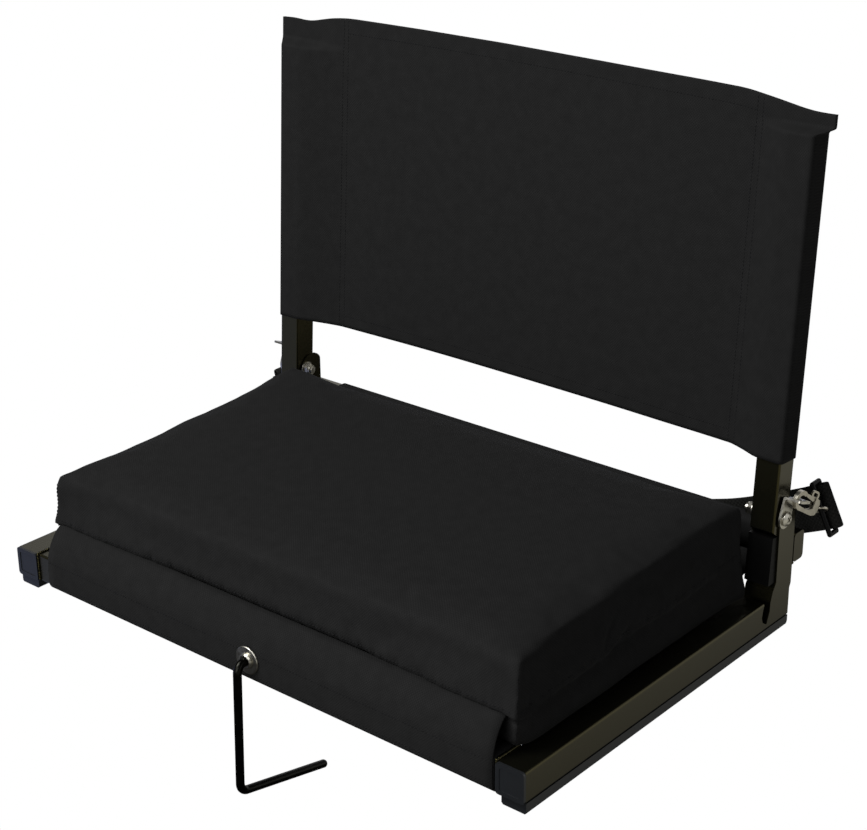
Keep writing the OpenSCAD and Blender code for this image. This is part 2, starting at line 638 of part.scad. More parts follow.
// section of the back across the posts
module panel_section() {
  h = sleeve_out / 2;
  difference() {
    union() {
      square([2 * seam_x + 2, 2 * back_cloth + 0.4], center = true);
      for (s = [-1, 1]) {
        translate([s * rail_x, 0]) round_square(sleeve_out, sleeve_out, 3);
        polygon([[s * (rail_x - h + 3), h], [s * seam_x, back_cloth + 0.2],
          [s * seam_x, -back_cloth - 0.2], [s * (rail_x - h + 3), -h]]);
      }
    }
    for (s = [-1, 1]) {
      translate([s * rail_x, 0]) round_square(sleeve_in, sleeve_in, 1.8);
      polygon([[s * (rail_x - h + 5), h - back_cloth - 0.8], [s * (seam_x + 4), 0.1],
        [s * (seam_x + 4), -0.1], [s * (rail_x - h + 5), -h + back_cloth + 0.8]]);
    }
  }
}
module back_panel() {
  e = rail_x + sleeve_out / 2;
  t = 2 * back_cloth + 0.4;
  hem = 12;
  // outline of the panel seen from the front, across and along the posts
  edge = concat(
    [for (x = [-e : e / 8 : e]) [x, panel_low + 3.6 * (1 - x * x / (e * e))]],
    [[e, panel_high - 26], [e + ear_out, panel_high - 25], [e + ear_out - 1, panel_high - 13],
     [e - 20, panel_high - 10], [rail_x - 36, panel_high - 5], [rail_x - 64, panel_high - 1.5],
     [120, panel_high], [-120, panel_high], [-rail_x + 64, panel_high - 1.5],
     [-rail_x + 36, panel_high - 5], [-e + 20, panel_high - 10],
     [-e - ear_out + 1, panel_high - 13], [-e - ear_out, panel_high - 25], [-e, panel_high - 26]]);
  color(cloth) placed() back_frame() {
    difference() {
      union() {
        // the sleeves and what lies between them
        intersection() {
          translate([0, 0, panel_low - cut]) linear_extrude(height = sleeve_top - panel_low + cut)
            panel_section();
          translate([0, rail_tube, 0]) rotate([90, 0, 0]) linear_extrude(height = 2 * rail_tube)
            polygon(edge);
        }
        // the flat top above the posts
        intersection() {
          translate([0, t / 2, 0]) rotate([90, 0, 0]) linear_extrude(height = t) polygon(edge);
          translate([-frame_w, -t, sleeve_top - 4]) cube([2 * frame_w, 2 * t, panel_high]);
        }
        // where each sleeve closes over its post
        for (s = [-1, 1]) hull() {
          translate([s * rail_x, 0, sleeve_top - 5]) linear_extrude(height = 5)
            round_square(sleeve_out, sleeve_out, 3);
          translate([s * (e + ear_out * 0.5 - hem * 1.5), 0, sleeve_top + 4])
            linear_extrude(height = 2) square([hem * 3 - 2, t], center = true);
        }
      }
      for (s = [-1, 1]) translate([s * rail_x, 0, 0]) linear_extrude(height = sleeve_top)
        round_square(sleeve_in, sleeve_in, 1.8);
    }
  }
}

// BENCH HOOK

module on_hook_axis(y) {
  placed() translate([hook_x, y, hook_z]) rotate([-90, 0, 0]) children();
}
module hook_grommet() {
  color(zinc) on_hook_axis(front_face_y - grommet_t) rotate_extrude() difference() {
    polygon([[hook_r + hook_clear, -cup_h], [cup_r - 1.2, -cup_h], [cup_r, -cup_h + 1.2],
      [cup_r, 0], [grommet_r - 0.5, 0], [grommet_r, 0.5], [grommet_r, grommet_t],
      [hook_r + hook_clear, grommet_t]]);
    // the cup is dished round the bar
    translate([hook_r + hook_clear - cut, -cup_h - cut]) square([cut + 0.9, cut + 1]);
  }
}
module washer(y, r, t) {
  on_hook_axis(y) difference() {
    cylinder(r = r, h = t);
    translate([0, 0, -cut]) cylinder(r = hook_r + run_gap, h = t + 2 * cut);
  }
}
module spring_seat() { color(steel) washer(spring_seat_y, spring_r + 1.2, spring_seat_t); }
module thrust_washer() { color(steel) washer(thrust_y, spring_r + 1.2, thrust_t); }

// one unbroken tube: closed end turns, open curls between them
module hook_spring() {
  steps = 8;
  sides = 6;
  total = spring_turns * steps;
  w = spring_wire / 2;
  span = spring_len - spring_wire - 0.1;
  rise = function(i) let (f = i / total, e = 1 / spring_turns)
    f < e ? f / e * spring_wire * 1.15
    : f > 1 - e ? span - (1 - f) / e * spring_wire * 1.15
    : spring_wire * 1.15 + (span - 2.3 * spring_wire) * (f - e) / (1 - 2 * e);
  line = [for (i = [0 : total]) let (t = 360 * i / steps)
    [spring_r * cos(t), spring_r * sin(t), w + 0.05 + rise(i)]];
  pts = [for (i = [0 : total]) let (t = 360 * i / steps, c = line[i],
      out = [cos(t), sin(t), 0], up = [0, 0, 1])
    for (k = [0 : sides - 1]) c + w * (cos(360 * k / sides) * out + sin(360 * k / sides) * up)];
  least = min([for (i = [steps * 2 : total - steps * 2]) line[i + steps][2] - line[i][2]]);
  echo(spring_gap = least - spring_wire);
  color(steel) on_hook_axis(spring_y0)
    polyhedron(points = pts, faces = concat(ring_faces(total + 1, sides), cap_faces(total + 1, sides)));
}

// a straight piece of the bar along X, and then what follows it
module bar(len) {
  translate([-weld, 0, 0]) rotate([0, 90, 0]) cylinder(r = bar_r, h = len + 2 * weld);
  translate([len, 0, 0]) children();
}
// a bend of the bar to its left through a, and then what follows it
module bend(r, a) {
  translate([0, r, 0]) rotate([0, 0, -90]) rotate_extrude(angle = a) translate([r, 0]) circle(r = hook_r);
  translate([r * sin(a), r * (1 - cos(a)), 0]) rotate([0, 0, a]) children();
}
module bench_hook() {
  straight = hook_end_y - bend_y;
  color(zinc) placed() translate([hook_x, hook_end_y, hook_z])
    // the bar is drawn in X and Y: its X runs forward, its Y down
    multmatrix([[0, 0, 1, 0], [-1, 0, 0, 0], [0, -1, 0, 0], [0, 0, 0, 1]])
      bar(straight) bend(bend_r, 90 - leg_lean) bar(leg_len)
        bend(corner_r, 90 + leg_lean - foot_slope) bar(hook_foot - corner_r - weld) sphere(r = hook_r);
}
module hook_nut() {
  color(steel) on_hook_axis(hook_nut_y) difference() {
    cylinder(d = (2 * hook_r + 4) / cos(30), h = hook_nut_t, $fn = 6);
    translate([0, 0, -cut]) cylinder(r = hook_r, h = hook_nut_t + 2 * cut);
  }
}

// CARRY STRAP

// the snap's own frame: X along it from the ear's rim, Y across it upward, Z through it
module snap_frame(s) {
  placed() side(s) translate([ear_x, ear_y, ear_z])
    rotate([0, 0, 90 - of_side(s, snap_yaw)]) rotate([0, of_side(s, snap_pitch), 0])
      rotate([90, 0, 0]) children();
}
gate_x = 22;
gate_y = 4;
rivet_r = 0.9;
module snap_body(s) {
  color(steel) snap_frame(s) union() {
    snap_casting();
    // rivet that the gate turns on
    translate([gate_x, gate_y, -snap_bar / 2]) cylinder(r = rivet_r, h = snap_bar);
  }
}
module snap_casting() {
  difference() {
    translate([0, 0, -snap_bar / 2]) union() {
      linear_extrude(height = snap_bar) difference() {
        circle(r = nose_out);
        circle(r = nose_in);
        // the mouth that the gate closes
        polygon([[0, 0], [nose_out, nose_out * tan(60)], [nose_out + 1, nose_out],
          [nose_out + 1, -nose_in], [nose_in * 0.4, -nose_in]]);
      }
      // spine, widened to shoulders round the swivel
      linear_extrude(height = snap_bar) polygon([[0, -nose_out + 0.1], [gate_x - 2.2, -nose_out + 0.1],
        [gate_x + 3, -6.6], [body_end, -3], [body_end, 3], [gate_x + 3, 6.2],
        [gate_x - 2.5, 7.2], [gate_x - 2.5, -2.2], [gate_x - 9, -nose_in - 0.4],
        [0, -nose_in - 0.2]]);
    }
    // fork for the gate, and the seat of the swivel's stem
    translate([gate_x - 4.5, -1.6, -0.85]) cube([9.5, 12, 1.7]);
    translate([gate_x + cut, 0, 0]) rotate([0, 90, 0]) cylinder(r = 1.3, h = 8);
  }
}
module snap_gate(s) {
  color(zinc) snap_frame(s) translate([gate_x, gate_y, -0.7]) difference() {
    union() {
      linear_extrude(height = 1.4) polygon([[-17.2, 0.8], [-17.2, 3], [-14, 3.2], [-1, 2.2],
        [1.2, 1.6], [2, 0], [1.2, -1.6], [-1, -1.8], [-3, -1.2]]);
      // thumb lever, an arch with an eye in it
      linear_extrude(height = 1.4) difference() {
        translate([-4, 4.6]) round_square(11, 7.2, 3.5);
        translate([-4, 4.9]) round_square(6.4, 3.2, 1.5);
      }
    }
    translate([0, 0, -cut]) cylinder(r = rivet_r + run_gap, h = 2 + 2 * cut);
  }
}
module snap_swivel(s) {
  color(steel) snap_frame(s) {
    translate([gate_x + 2 * cut, 0, 0]) rotate([0, 90, 0])
      cylinder(r = 1.25, h = eye_x - eye_r - gate_x - 2 * cut + 1);
    translate([eye_x, 0, 0]) rotate([eye_turn(s), 0, 0])
      rotate_extrude() translate([eye_mid, 0]) circle(r = eye_wire);
  }
}
// the ring's frame: X along its bars, Y from bar to bar, Z out through the fold
module ring_frame(s) {
  placed() side(s) translate(ring_c(s)) {
    if (s < 0) rotate([0, 0, ring_turn]) rotate([ring_lift, 0, 0]) rotate([0, 0, -90])
      rotate([-ring_roll, 0, 0]) children();
    else rotate([0, 90 - strap_slope, 0]) children();
  }
}
module strap_ring(s) {
  r = ring_bar / 2;
  color(plastic) ring_frame(s) {
    for (y = [0, ring_depth]) translate([-ring_half, y, 0]) rotate([0, 90, 0])
      cylinder(r = r, h = 2 * ring_half);
    for (x = [-ring_half, ring_half]) {
      translate([x, 0, 0]) rotate([-90, 0, 0]) cylinder(r = r, h = ring_depth);
      for (y = [0, ring_depth]) translate([x, y, 0]) sphere(r = r);
    }
  }
}

// centre line of the webbing, each half from its sewn tail round the fold to the middle
tail_out = ring_depth + ring_bar / 2 + lay_gap + strap_t / 2; // tail past the near bar
tail_len = [26, 34];                                          // left and right sewn tail
tail_gap = [2, 0.5];                                          // between tail and run at its end
fold_r = (tail_out - lay_out) / 2;
fold_reach = 7;                                               // of the fold past the ring
fold_out = fold_reach - fold_r;                               // where the fold's round starts
lay_y = ring_y + lay_out;
run_y = rear_y + rear_tube_d + sleeve_gap + sling_cloth + lay_gap + strap_t / 2;
sag_power = 2.2;
strap_sag = tan(strap_slope) / sag_power * ring_x;
mid_z = ring_z - strap_sag;
twist_end = 134;                                              // where the webbing stands on edge
twist_start = 22;                                             // and where it lies flat
lay_start = 265;                                              // where it leaves the ring's depth
lay_end = 205;                                                // and reaches the rear tube's
pace = 8;
function run_z(x) = mid_z + strap_sag * pow(x / ring_x, sag_power);
function run_depth(x) = ease(run_y, lay_y, (x - lay_end) / (lay_start - lay_end));
function at_ring(s, d, y) = ring_c(s) + ring_out(s) * d + ring_across(s) * y;
function half_end(s) = concat(
  [for (d = [-of_side(s, tail_len) : pace : -2 * pace])
    at_ring(s, d, lay_out + strap_t + of_side(s, tail_gap))],
  [for (d = [-pace, -2, fold_out]) at_ring(s, d,
    ease(lay_out + strap_t + of_side(s, tail_gap), tail_out, (d + 2 * pace) / (2 * pace)))],
  [for (t = [-60, -30, 0, 30, 60])
    at_ring(s, fold_out + fold_r * cos(t), (lay_out + tail_out) / 2 - fold_r * sin(t))],
  [for (d = [fold_out, 0, -pace + 2]) at_ring(s, d, lay_out)]);
// right run: on edge along the ring's slope, then turned flat by the middle
right_run = [for (x = [ring_x - 1.5 * pace : -pace : 1]) [x, run_depth(x), run_z(x)]];
function right_across(x) = let (a = 90 * (1 - ease(0, 1, (x - twist_start) / (twist_end - twist_start))),
    slope = strap_sag * sag_power / ring_x * pow(x / ring_x, sag_power - 1))
  cos(a) * unit([slope, 0, -1]) + sin(a) * [0, -1, 0];
// left run: down beside the channel, round its rear corner and flat to the middle
low = [frame_w / 2 - 13, rear_y + strap_w / 2 + 6, mid_z + 5];
drop = [at_ring(-1, -pace, lay_out), at_ring(-1, -pace - 32, lay_out), low + [20, 0, 0.8], low];
function bezier(q, t) = pow(1 - t, 3) * q[0] + 3 * pow(1 - t, 2) * t * q[1]
  + 3 * (1 - t) * t * t * q[2] + t * t * t * q[3];
drop_run = [for (t = [0.1 : 0.1 : 1]) bezier(drop, t)];
flat_run = [for (x = [low[0] - pace : -pace : 1]) let (f = x / low[0])
  [x, ease(run_y, low[1], f), mid_z + (low[2] - mid_z) * f * f]];
left_across = concat([for (p = half_end(-1)) ring_along(-1)],
  [for (t = [0.1 : 0.1 : 1]) let (f = ease(0, 1, (t - 0.25) / 0.75))
    unit(ring_along(-1) * (1 - f) + [0, -1, 0] * f)],
  [for (p = flat_run) [0, -1, 0]]);
right_line = concat(half_end(1), right_run);
left_line = concat(half_end(-1), drop_run, flat_run);
strap_line = concat(right_line, [[0, run_y, mid_z]],
  [for (i = [len(left_line) - 1 : -1 : 0]) mirrored(left_line[i])]);
strap_across = concat([for (p = half_end(1)) ring_along(1)], [for (p = right_run) right_across(p[0])],
  [[0, -1, 0]], [for (i = [len(left_line) - 1 : -1 : 0]) mirrored(left_across[i])]);
function mirrored(p) = [-p[0], p[1], p[2]];
module carry_strap() {
  n = len(strap_line);
  pts = [for (i = [0 : n - 1]) let (a = strap_line[max(i - 1, 0)], b = strap_line[min(i + 1, n - 1)],
      t = unit(b - a), w0 = strap_across[i], w = unit(w0 - t * (w0 * t)), u = cross(t, w))
    each [strap_line[i] + w * strap_w / 2 + u * strap_t / 2,
          strap_line[i] - w * strap_w / 2 + u * strap_t / 2,
          strap_line[i] - w * strap_w / 2 - u * strap_t / 2,
          strap_line[i] + w * strap_w / 2 - u * strap_t / 2]];
  run = [for (i = [1 : n - 1]) norm(strap_line[i] - strap_line[i - 1])];
  echo(strap_length = run * [for (i = run) 1]);
  // both broad faces are split along the same diagonal, so that the webbing keeps its thickness
  skin = [for (i = [0 : n - 2]) let (a = 4 * i, b = a + 4) each [
    [a, a + 1, b + 1], [a, b + 1, b], [a + 1, a + 2, b + 2], [a + 1, b + 2, b + 1],
    [a + 2, a + 3, b + 2], [a + 3, b + 3, b + 2], [a + 3, a, b], [a + 3, b, b + 3]]];
  color(web) placed() polyhedron(points = pts,
    faces = [for (f = concat(skin, cap_faces(n, 4))) flip(f)]);
}

side_rail(-1);  // side_rail_left
side_rail(1);  // side_rail_right
rail_plug(-1);  // rail_plug_left
rail_plug(1);  // rail_plug_right
skid_strip(-1);  // skid_strip_left
skid_strip(1);  // skid_strip_right
front_cross_tube();
rear_cross_tube();
back_stop(-1);  // back_stop_left
back_stop(1);  // back_stop_right
hinge_bolt(-1);  // hinge_bolt_left
hinge_bolt(1);  // hinge_bolt_right
hinge_nut(-1);  // hinge_nut_left
hinge_nut(1);  // hinge_nut_right
strap_tab(-1);  // strap_tab_left
strap_tab(1);  // strap_tab_right
seat_sling();
cushion_skirt();
seat_cushion();
back_upright(-1);  // back_upright_left
back_upright(1);  // back_upright_right
upright_cap(-1);  // upright_cap_left
upright_cap(1);  // upright_cap_right
back_panel();
hook_grommet();
spring_seat();
hook_spring();
thrust_washer();
bench_hook();
hook_nut();
snap_body(-1);  // snap_body_left
snap_body(1);  // snap_body_right
snap_gate(-1);  // snap_gate_left
snap_gate(1);  // snap_gate_right
snap_swivel(-1);  // snap_swivel_left
snap_swivel(1);  // snap_swivel_right
strap_ring(-1);  // strap_ring_left
strap_ring(1);  // strap_ring_right
carry_strap();
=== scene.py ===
# %% [markdown]
# # A folding bleacher chair
# The chair hooks on a bleacher bench. Two side frames of square steel tube carry a fabric
# sling with a boxed cushion on it, and a fabric back stretched over two posts that fold
# forward. The steel comes ready made as the frame. This script dresses it: it sews the cloth
# over it, gives each metal and plastic its finish, and lights it plainly.

# %% Start from the frame
import math

import bmesh
import bpy
import numpy as np
from mathutils import Matrix, Vector


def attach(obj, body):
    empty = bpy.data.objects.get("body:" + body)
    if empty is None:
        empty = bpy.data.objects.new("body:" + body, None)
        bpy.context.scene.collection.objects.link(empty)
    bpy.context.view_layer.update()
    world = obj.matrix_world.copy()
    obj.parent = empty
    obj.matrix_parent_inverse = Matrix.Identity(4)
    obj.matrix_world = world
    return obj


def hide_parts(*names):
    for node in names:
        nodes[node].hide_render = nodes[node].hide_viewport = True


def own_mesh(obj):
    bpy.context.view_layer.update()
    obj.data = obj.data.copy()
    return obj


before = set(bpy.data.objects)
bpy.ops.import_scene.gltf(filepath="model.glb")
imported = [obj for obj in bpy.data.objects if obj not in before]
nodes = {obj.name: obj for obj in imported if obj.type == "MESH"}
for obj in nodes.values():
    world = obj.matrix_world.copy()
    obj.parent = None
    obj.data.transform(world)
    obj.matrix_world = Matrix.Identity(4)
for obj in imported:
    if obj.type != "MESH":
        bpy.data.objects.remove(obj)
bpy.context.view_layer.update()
print("frame pieces:", len(nodes))

# %% [markdown]
# ## Units and a few tools
# Sizes are written in millimetres, as a maker would measure them, and turned to metres where
# a mesh is made. Most cloth here is a grid of points: rows that follow one direction, columns
# that follow the other. One function makes such a grid, with a UV map in real millimetres,
# so that a weave drawn on the UV map follows the cloth wherever it bends.

# %% Mesh tools
MM = 0.001


def in_scene(name, data):
    """An object in the scene that shows a mesh, a camera or a lamp."""
    made = bpy.data.objects.new(name, data)
    bpy.context.scene.collection.objects.link(made)
    return made


def mesh_piece(name, points, faces, uvs=None):
    """An object at the origin from points in millimetres; uvs gives one pair for each point."""
    mesh = bpy.data.meshes.new(name)
    mesh.from_pydata([[c * MM for c in p] for p in points], [], faces)
    if uvs is not None:
        layer = mesh.uv_layers.new(name="cloth")
        for loop in mesh.loops:
            layer.data[loop.index].uv = uvs[loop.vertex_index]
    mesh.validate()
    mesh.shade_smooth()
    return in_scene(name, mesh)


def grid_faces(rows, columns, ring=False):
    """Quads between rows of points; with ring=True each row closes on itself."""
    faces = []
    for here in range(0, (rows - 1) * columns, columns):
        for c in range(columns if ring else columns - 1):
            after = (c + 1) % columns
            faces.append((here + c, here + after, here + columns + after, here + columns + c))
    return faces


def run_along(path):
    """How far along a path each of its points lies."""
    return np.concatenate([[0], np.cumsum(np.linalg.norm(np.diff(path, axis=0), axis=1))])


def smooth_step(start, end, value):
    """0 up to start, 1 from end on, and an even curve between them."""
    t = np.clip((value - start) / (end - start), 0.0, 1.0)
    return t * t * (3 - 2 * t)


def finish_modifiers(piece):
    """Turns the piece with its modifiers into a plain mesh."""
    graph = bpy.context.evaluated_depsgraph_get()
    solid = bpy.data.meshes.new_from_object(piece.evaluated_get(graph), depsgraph=graph)
    piece.modifiers.clear()
    piece.data = solid
    solid.shade_smooth()
    return piece


def thicken(piece, thickness, offset):
    """Gives a cloth its thickness in millimetres; offset -1 puts it inside, 0 on both sides."""
    wall = piece.modifiers.new("cloth_thickness", "SOLIDIFY")
    wall.thickness, wall.offset = thickness * MM, offset
    return finish_modifiers(piece)


# %% [markdown]
# ## The camera
# The photograph was fitted before the chair was drawn, so the camera has the place, the lens
# and the slight roll of the real one. It looks down a little from the chair's front right.

# %% Camera
YAW, PITCH, ROLL = (math.radians(a) for a in (40.508, 22.663, 0.628))
CAMERA_AT = (0.940, -1.04585, 0.7582)
SENSOR = 36.0
FOCAL_PX, WIDTH_PX = 1880.7, 867

forward = Vector((
    -math.sin(YAW) * math.cos(PITCH), math.cos(YAW) * math.cos(PITCH), -math.sin(PITCH),
))
level = Vector((math.cos(YAW), math.sin(YAW), 0))
down = forward.cross(level)
across = level * math.cos(ROLL) + down * math.sin(ROLL)
below = down * math.cos(ROLL) - level * math.sin(ROLL)

camera_data = bpy.data.cameras.new("camera")
camera_data.sensor_fit = "HORIZONTAL"
camera_data.sensor_width = SENSOR
camera_data.lens = FOCAL_PX / WIDTH_PX * SENSOR
camera = in_scene("camera", camera_data)
turn = Matrix((across, -below, -forward)).transposed().to_4x4()
camera.matrix_world = Matrix.Translation(CAMERA_AT) @ turn
bpy.context.scene.camera = camera
print("lens", round(camera_data.lens, 2), "mm")

# %% [markdown]
# ## The carry strap
# The strap is flat webbing, 38 mm wide, clipped to an ear at each hinge. It goes through a
# ring at each end, folds back on itself and is sewn. The right snap lies back, so the webbing
# stands on its edge there and turns flat by the middle. The left snap hangs beside its post:
# the webbing drops straight down and bends flat under the rear tube, out of sight from the
# front. A ribbon is made by walking along that line and laying a thin rounded section square
# to it at each point.

# %% Where the two rings hang
STRAP_W, STRAP_T = 38.0, 1.8
EAR = np.array([283.0, 170.757, 117.008])
EYE, EYE_WIRE, BAR = 5.1, 1.15, 2.1  # swivel eye, its wire and the ring's bar: radii
RING_OUT = 35.0  # from the right ear's middle to the ring's
LEAN = 26  # the right ring leans by this, and the webbing leaves it at the same slope
LEFT_TURN, LEFT_TILT, LEFT_ROLL = 15, 10, 12
PLAY = 0.1  # of the ring's bar in the swivel eye
GAP, PULLED_BACK, LAYERS_APART = 0.3, 0.6, 1.0
FOLD_PAST = 7  # how far the fold of the webbing stands out from the ring


def sin_cos(degrees):
    return math.sin(math.radians(degrees)), math.cos(math.radians(degrees))


def snap_direction(fall, outward):
    """Where a snap points that falls below level and turns outward by these angles."""
    (sf, cf), (so, co) = sin_cos(fall), sin_cos(outward)
    return np.array([cf * so, cf * co, -sf])


def ring_axes(side):
    """Along the ring's bars, from bar to bar, and out through the fold.

    The left ring is drawn on the right too, and mirrored with its webbing.
    """
    if side > 0:
        s, c = sin_cos(LEAN)
        return np.array([s, 0, -c]), np.array([0.0, 1, 0]), np.array([c, 0, s])
    (st, ct), (sl, cl), (sr, cr) = (sin_cos(a) for a in (LEFT_TURN, LEFT_TILT, LEFT_ROLL))
    level, top = np.array([ct, st, 0]), np.array([st * sl, -ct * sl, cl])
    return np.array([st * cl, -ct * cl, -sl]), cr * level - sr * top, sr * level + cr * top


def hang(side, snap):
    """How far the ring's bar hangs past the middle of the swivel eye."""
    lean = ring_axes(side)[0] @ snap
    return EYE - (BAR + EYE_WIRE + PLAY) / math.sqrt(1 - lean**2)


SNAPS = {1: snap_direction(32, 6.4), -1: snap_direction(68, 12)}
EYE_AT = RING_OUT - hang(1, SNAPS[1])
RINGS = {side: EAR + snap * (EYE_AT + hang(side, snap)) for side, snap in SNAPS.items()}
LAY = EYE + EYE_WIRE + GAP + STRAP_T / 2 - PULLED_BACK  # front layer, past the near bar
TAIL = LAY + STRAP_T + LAYERS_APART + 2 * BAR  # sewn layer, past the far bar
FOLD_R = (TAIL - LAY) / 2
FOLD_OUT = FOLD_PAST - FOLD_R
print("rings at", RINGS[1].round(1), RINGS[-1].round(1))


# %% The line of the webbing
FLAT = np.array([0, -1, 0])  # which way the width lies where the webbing is flat


def at_ring(side, out, depth):
    _, across_ring, outward = ring_axes(side)
    return RINGS[side] + outward * out + across_ring * depth


def sewn_end(side, tail_length, gap):
    """From the tail's end, a gap off the run, round the fold and back through the ring."""
    line = []
    for out in np.linspace(-tail_length, FOLD_OUT, 22):
        apart = smooth_step(-16, 0, out)
        near = LAY + STRAP_T + gap
        line.append(at_ring(side, out, near + (TAIL - near) * apart))
    for angle in np.linspace(-75, 75, 9):
        s, c = sin_cos(angle)
        line.append(at_ring(side, FOLD_OUT + FOLD_R * c, (LAY + TAIL) / 2 - FOLD_R * s))
    return line + [at_ring(side, out, LAY) for out in (FOLD_OUT, 0, -6)]


RUN_Y = 198.15  # just behind the rear tube's sleeve
RING_X, LAY_Y = RINGS[1][0], RINGS[1][1] + LAY
SAG_POWER = 2.2
FALL = math.tan(math.radians(LEAN))
SAG = FALL / SAG_POWER * RING_X
COMES_FORWARD, TURNS_FLAT = (205, 265), (22, 134)  # between these distances from the middle
MID = np.array([0.0, RUN_Y, RINGS[1][2] - SAG])
line, wide_ways = [], []
for p in sewn_end(1, 34, 0.5):
    line.append(p)
    wide_ways.append(ring_axes(1)[0])
for x in np.arange(RING_X - 12, 1, -4):
    depth = RUN_Y + (LAY_Y - RUN_Y) * smooth_step(*COMES_FORWARD, x)
    s, c = sin_cos(90 * (1 - smooth_step(*TURNS_FLAT, x)))
    slope = FALL * (x / RING_X) ** (SAG_POWER - 1)
    line.append(np.array([x, depth, MID[2] + SAG * (x / RING_X) ** SAG_POWER]))
    wide_ways.append(c * np.array([slope, 0, -1]) / math.hypot(slope, 1) + s * FLAT)
line.append(MID)
wide_ways.append(FLAT)

# the left half is drawn on the right and then mirrored: it drops, and bends flat at its low
# point under the rear tube
LOW_RISE = 5
left = sewn_end(-1, 26, 2.0)
left_wide = [ring_axes(-1)[0]] * len(left)
low = np.array([262.4, 205.05, MID[2] + LOW_RISE])
pull = [at_ring(-1, -8, LAY), at_ring(-1, -40, LAY), low + [20, 0, 0.8], low]
for t in np.linspace(0.04, 1, 25):
    weights = [(1 - t) ** 3, 3 * (1 - t) ** 2 * t, 3 * (1 - t) * t * t, t**3]
    left.append(sum(w * q for w, q in zip(weights, pull)))
    f = smooth_step(0.25, 1, t)
    left_wide.append(ring_axes(-1)[0] * (1 - f) + FLAT * f)
for x in np.arange(low[0] - 6, 1, -6):
    f = x / low[0]
    depth = RUN_Y + (low[1] - RUN_Y) * smooth_step(0, 1, f)
    left.append(np.array([x, depth, MID[2] + LOW_RISE * f * f]))
    left_wide.append(FLAT)
line += [p * [-1, 1, 1] for p in left[::-1]]
wide_ways += [np.array(w) * [-1, 1, 1] for w in left_wide[::-1]]

# %% The webbing itself
run = run_along(line)
half_w, half_t = STRAP_W / 2, STRAP_T / 2
# half a section: along the width, and through the thickness, with a round selvedge
section = [(-half_w, 0.0), (-half_w + 0.4, 0.75), (-half_w + 1.4, 1.0)]
section += [(w, 1.0) for w in np.linspace(-half_w + 4, half_w - 4, 7)]
section += [(half_w - 1.4, 1.0), (half_w - 0.4, 0.75), (half_w, 0.0)]
section += [(w, -t) for w, t in section[-2:0:-1]]

points, uvs = [], []
for i, (place, wide) in enumerate(zip(line, wide_ways)):
    ahead = line[min(i + 1, len(line) - 1)] - line[max(i - 1, 0)]
    ahead = ahead / np.linalg.norm(ahead)
    wide = wide - ahead * (wide @ ahead)
    wide = wide / np.linalg.norm(wide)
    through = np.cross(ahead, wide)
    for w, t in section:
        points.append(place + wide * w + through * t * half_t)
        uvs.append((w * MM, run[i] * MM))
n, m = len(line), len(section)
end_faces = [tuple(range(m - 1, -1, -1)), tuple(range((n - 1) * m, n * m))]
faces = grid_faces(n, m, ring=True) + end_faces
strap = mesh_piece("strap_webbing", points, faces, uvs)
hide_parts("carry_strap")
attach(strap, "strap")
print("strap length", round(run[-1]), "mm")

# %% [markdown]
# ## Colours and node tools
# Colours are noted as the sRGB hex values that a paint chart gives, and turned to linear
# light here. Every material is built by the same small function, which adds a node, sets its
# values and joins its inputs.


# %% Colour and node tools
def linear(hex_code):
    """A linear RGBA colour from an sRGB hex value."""
    channels = [int(hex_code[i : i + 2], 16) / 255 for i in (1, 3, 5)]
    return [c / 12.92 if c <= 0.04045 else ((c + 0.055) / 1.055) ** 2.4 for c in channels] + [1.0]


def node(tree, kind, links=None, **settings):
    """Adds a node; settings that name an input set it, others are the node's own."""
    made = tree.nodes.new(kind)
    for key, value in settings.items():
        setattr(made, key, value)
    for key, value in (links or {}).items():
        target = made.inputs[key]
        if isinstance(value, bpy.types.NodeSocket):
            tree.links.new(value, target)
        else:
            target.default_value = value
    return made


def new_material(name, base, roughness, metallic=0.0, specular=0.5, tint="#ffffff"):
    material = bpy.data.materials.new(name)
    material.use_nodes = True
    tree = material.node_tree
    shader = tree.nodes["Principled BSDF"]
    values = {
        "Base Color": linear(base), "Roughness": roughness, "Metallic": metallic,
        "Specular IOR Level": specular, "Specular Tint": linear(tint),
    }
    for key, value in values.items():
        shader.inputs[key].default_value = value
    return material, tree, shader


def colour_between(tree, factor, dark, pale):
    mix = node(tree, "ShaderNodeMix", data_type="RGBA")
    mix.inputs["A"].default_value = linear(dark)
    mix.inputs["B"].default_value = linear(pale)
    tree.links.new(factor, mix.inputs["Factor"])
    return mix.outputs["Result"]


def maths(tree, operation, *values):
    return node(tree, "ShaderNodeMath", dict(enumerate(values)), operation=operation).outputs[0]


def ramp(tree, value, start, end, low, high):
    """A value that goes from low to high as another goes from start to end."""
    limits = {"From Min": start, "From Max": end, "To Min": low, "To Max": high}
    return node(tree, "ShaderNodeMapRange", {"Value": value, **limits}).outputs[0]


def noise(tree, place, scale, detail):
    """A cloudy pattern; its spots are about 1000 / scale millimetres across."""
    values = {"Vector": place, "Scale": scale, "Detail": detail}
    return node(tree, "ShaderNodeTexNoise", values).outputs["Fac"]


def raise_grain(tree, shader, height, strength, distance):
    bump = {"Height": height, "Strength": strength, "Distance": distance}
    normal = node(tree, "ShaderNodeBump", bump).outputs["Normal"]
    tree.links.new(normal, shader.inputs["Normal"])


# %% [markdown]
# ## Powder coat
# The tubes are steel with a black powder coat: dry paint grains are baked until they flow
# together. That leaves a satin skin with a faint orange peel about 1.5 mm across, and a
# slightly uneven gloss. The black itself is very deep; a warm olive cast shows only where the
# skin mirrors something pale.

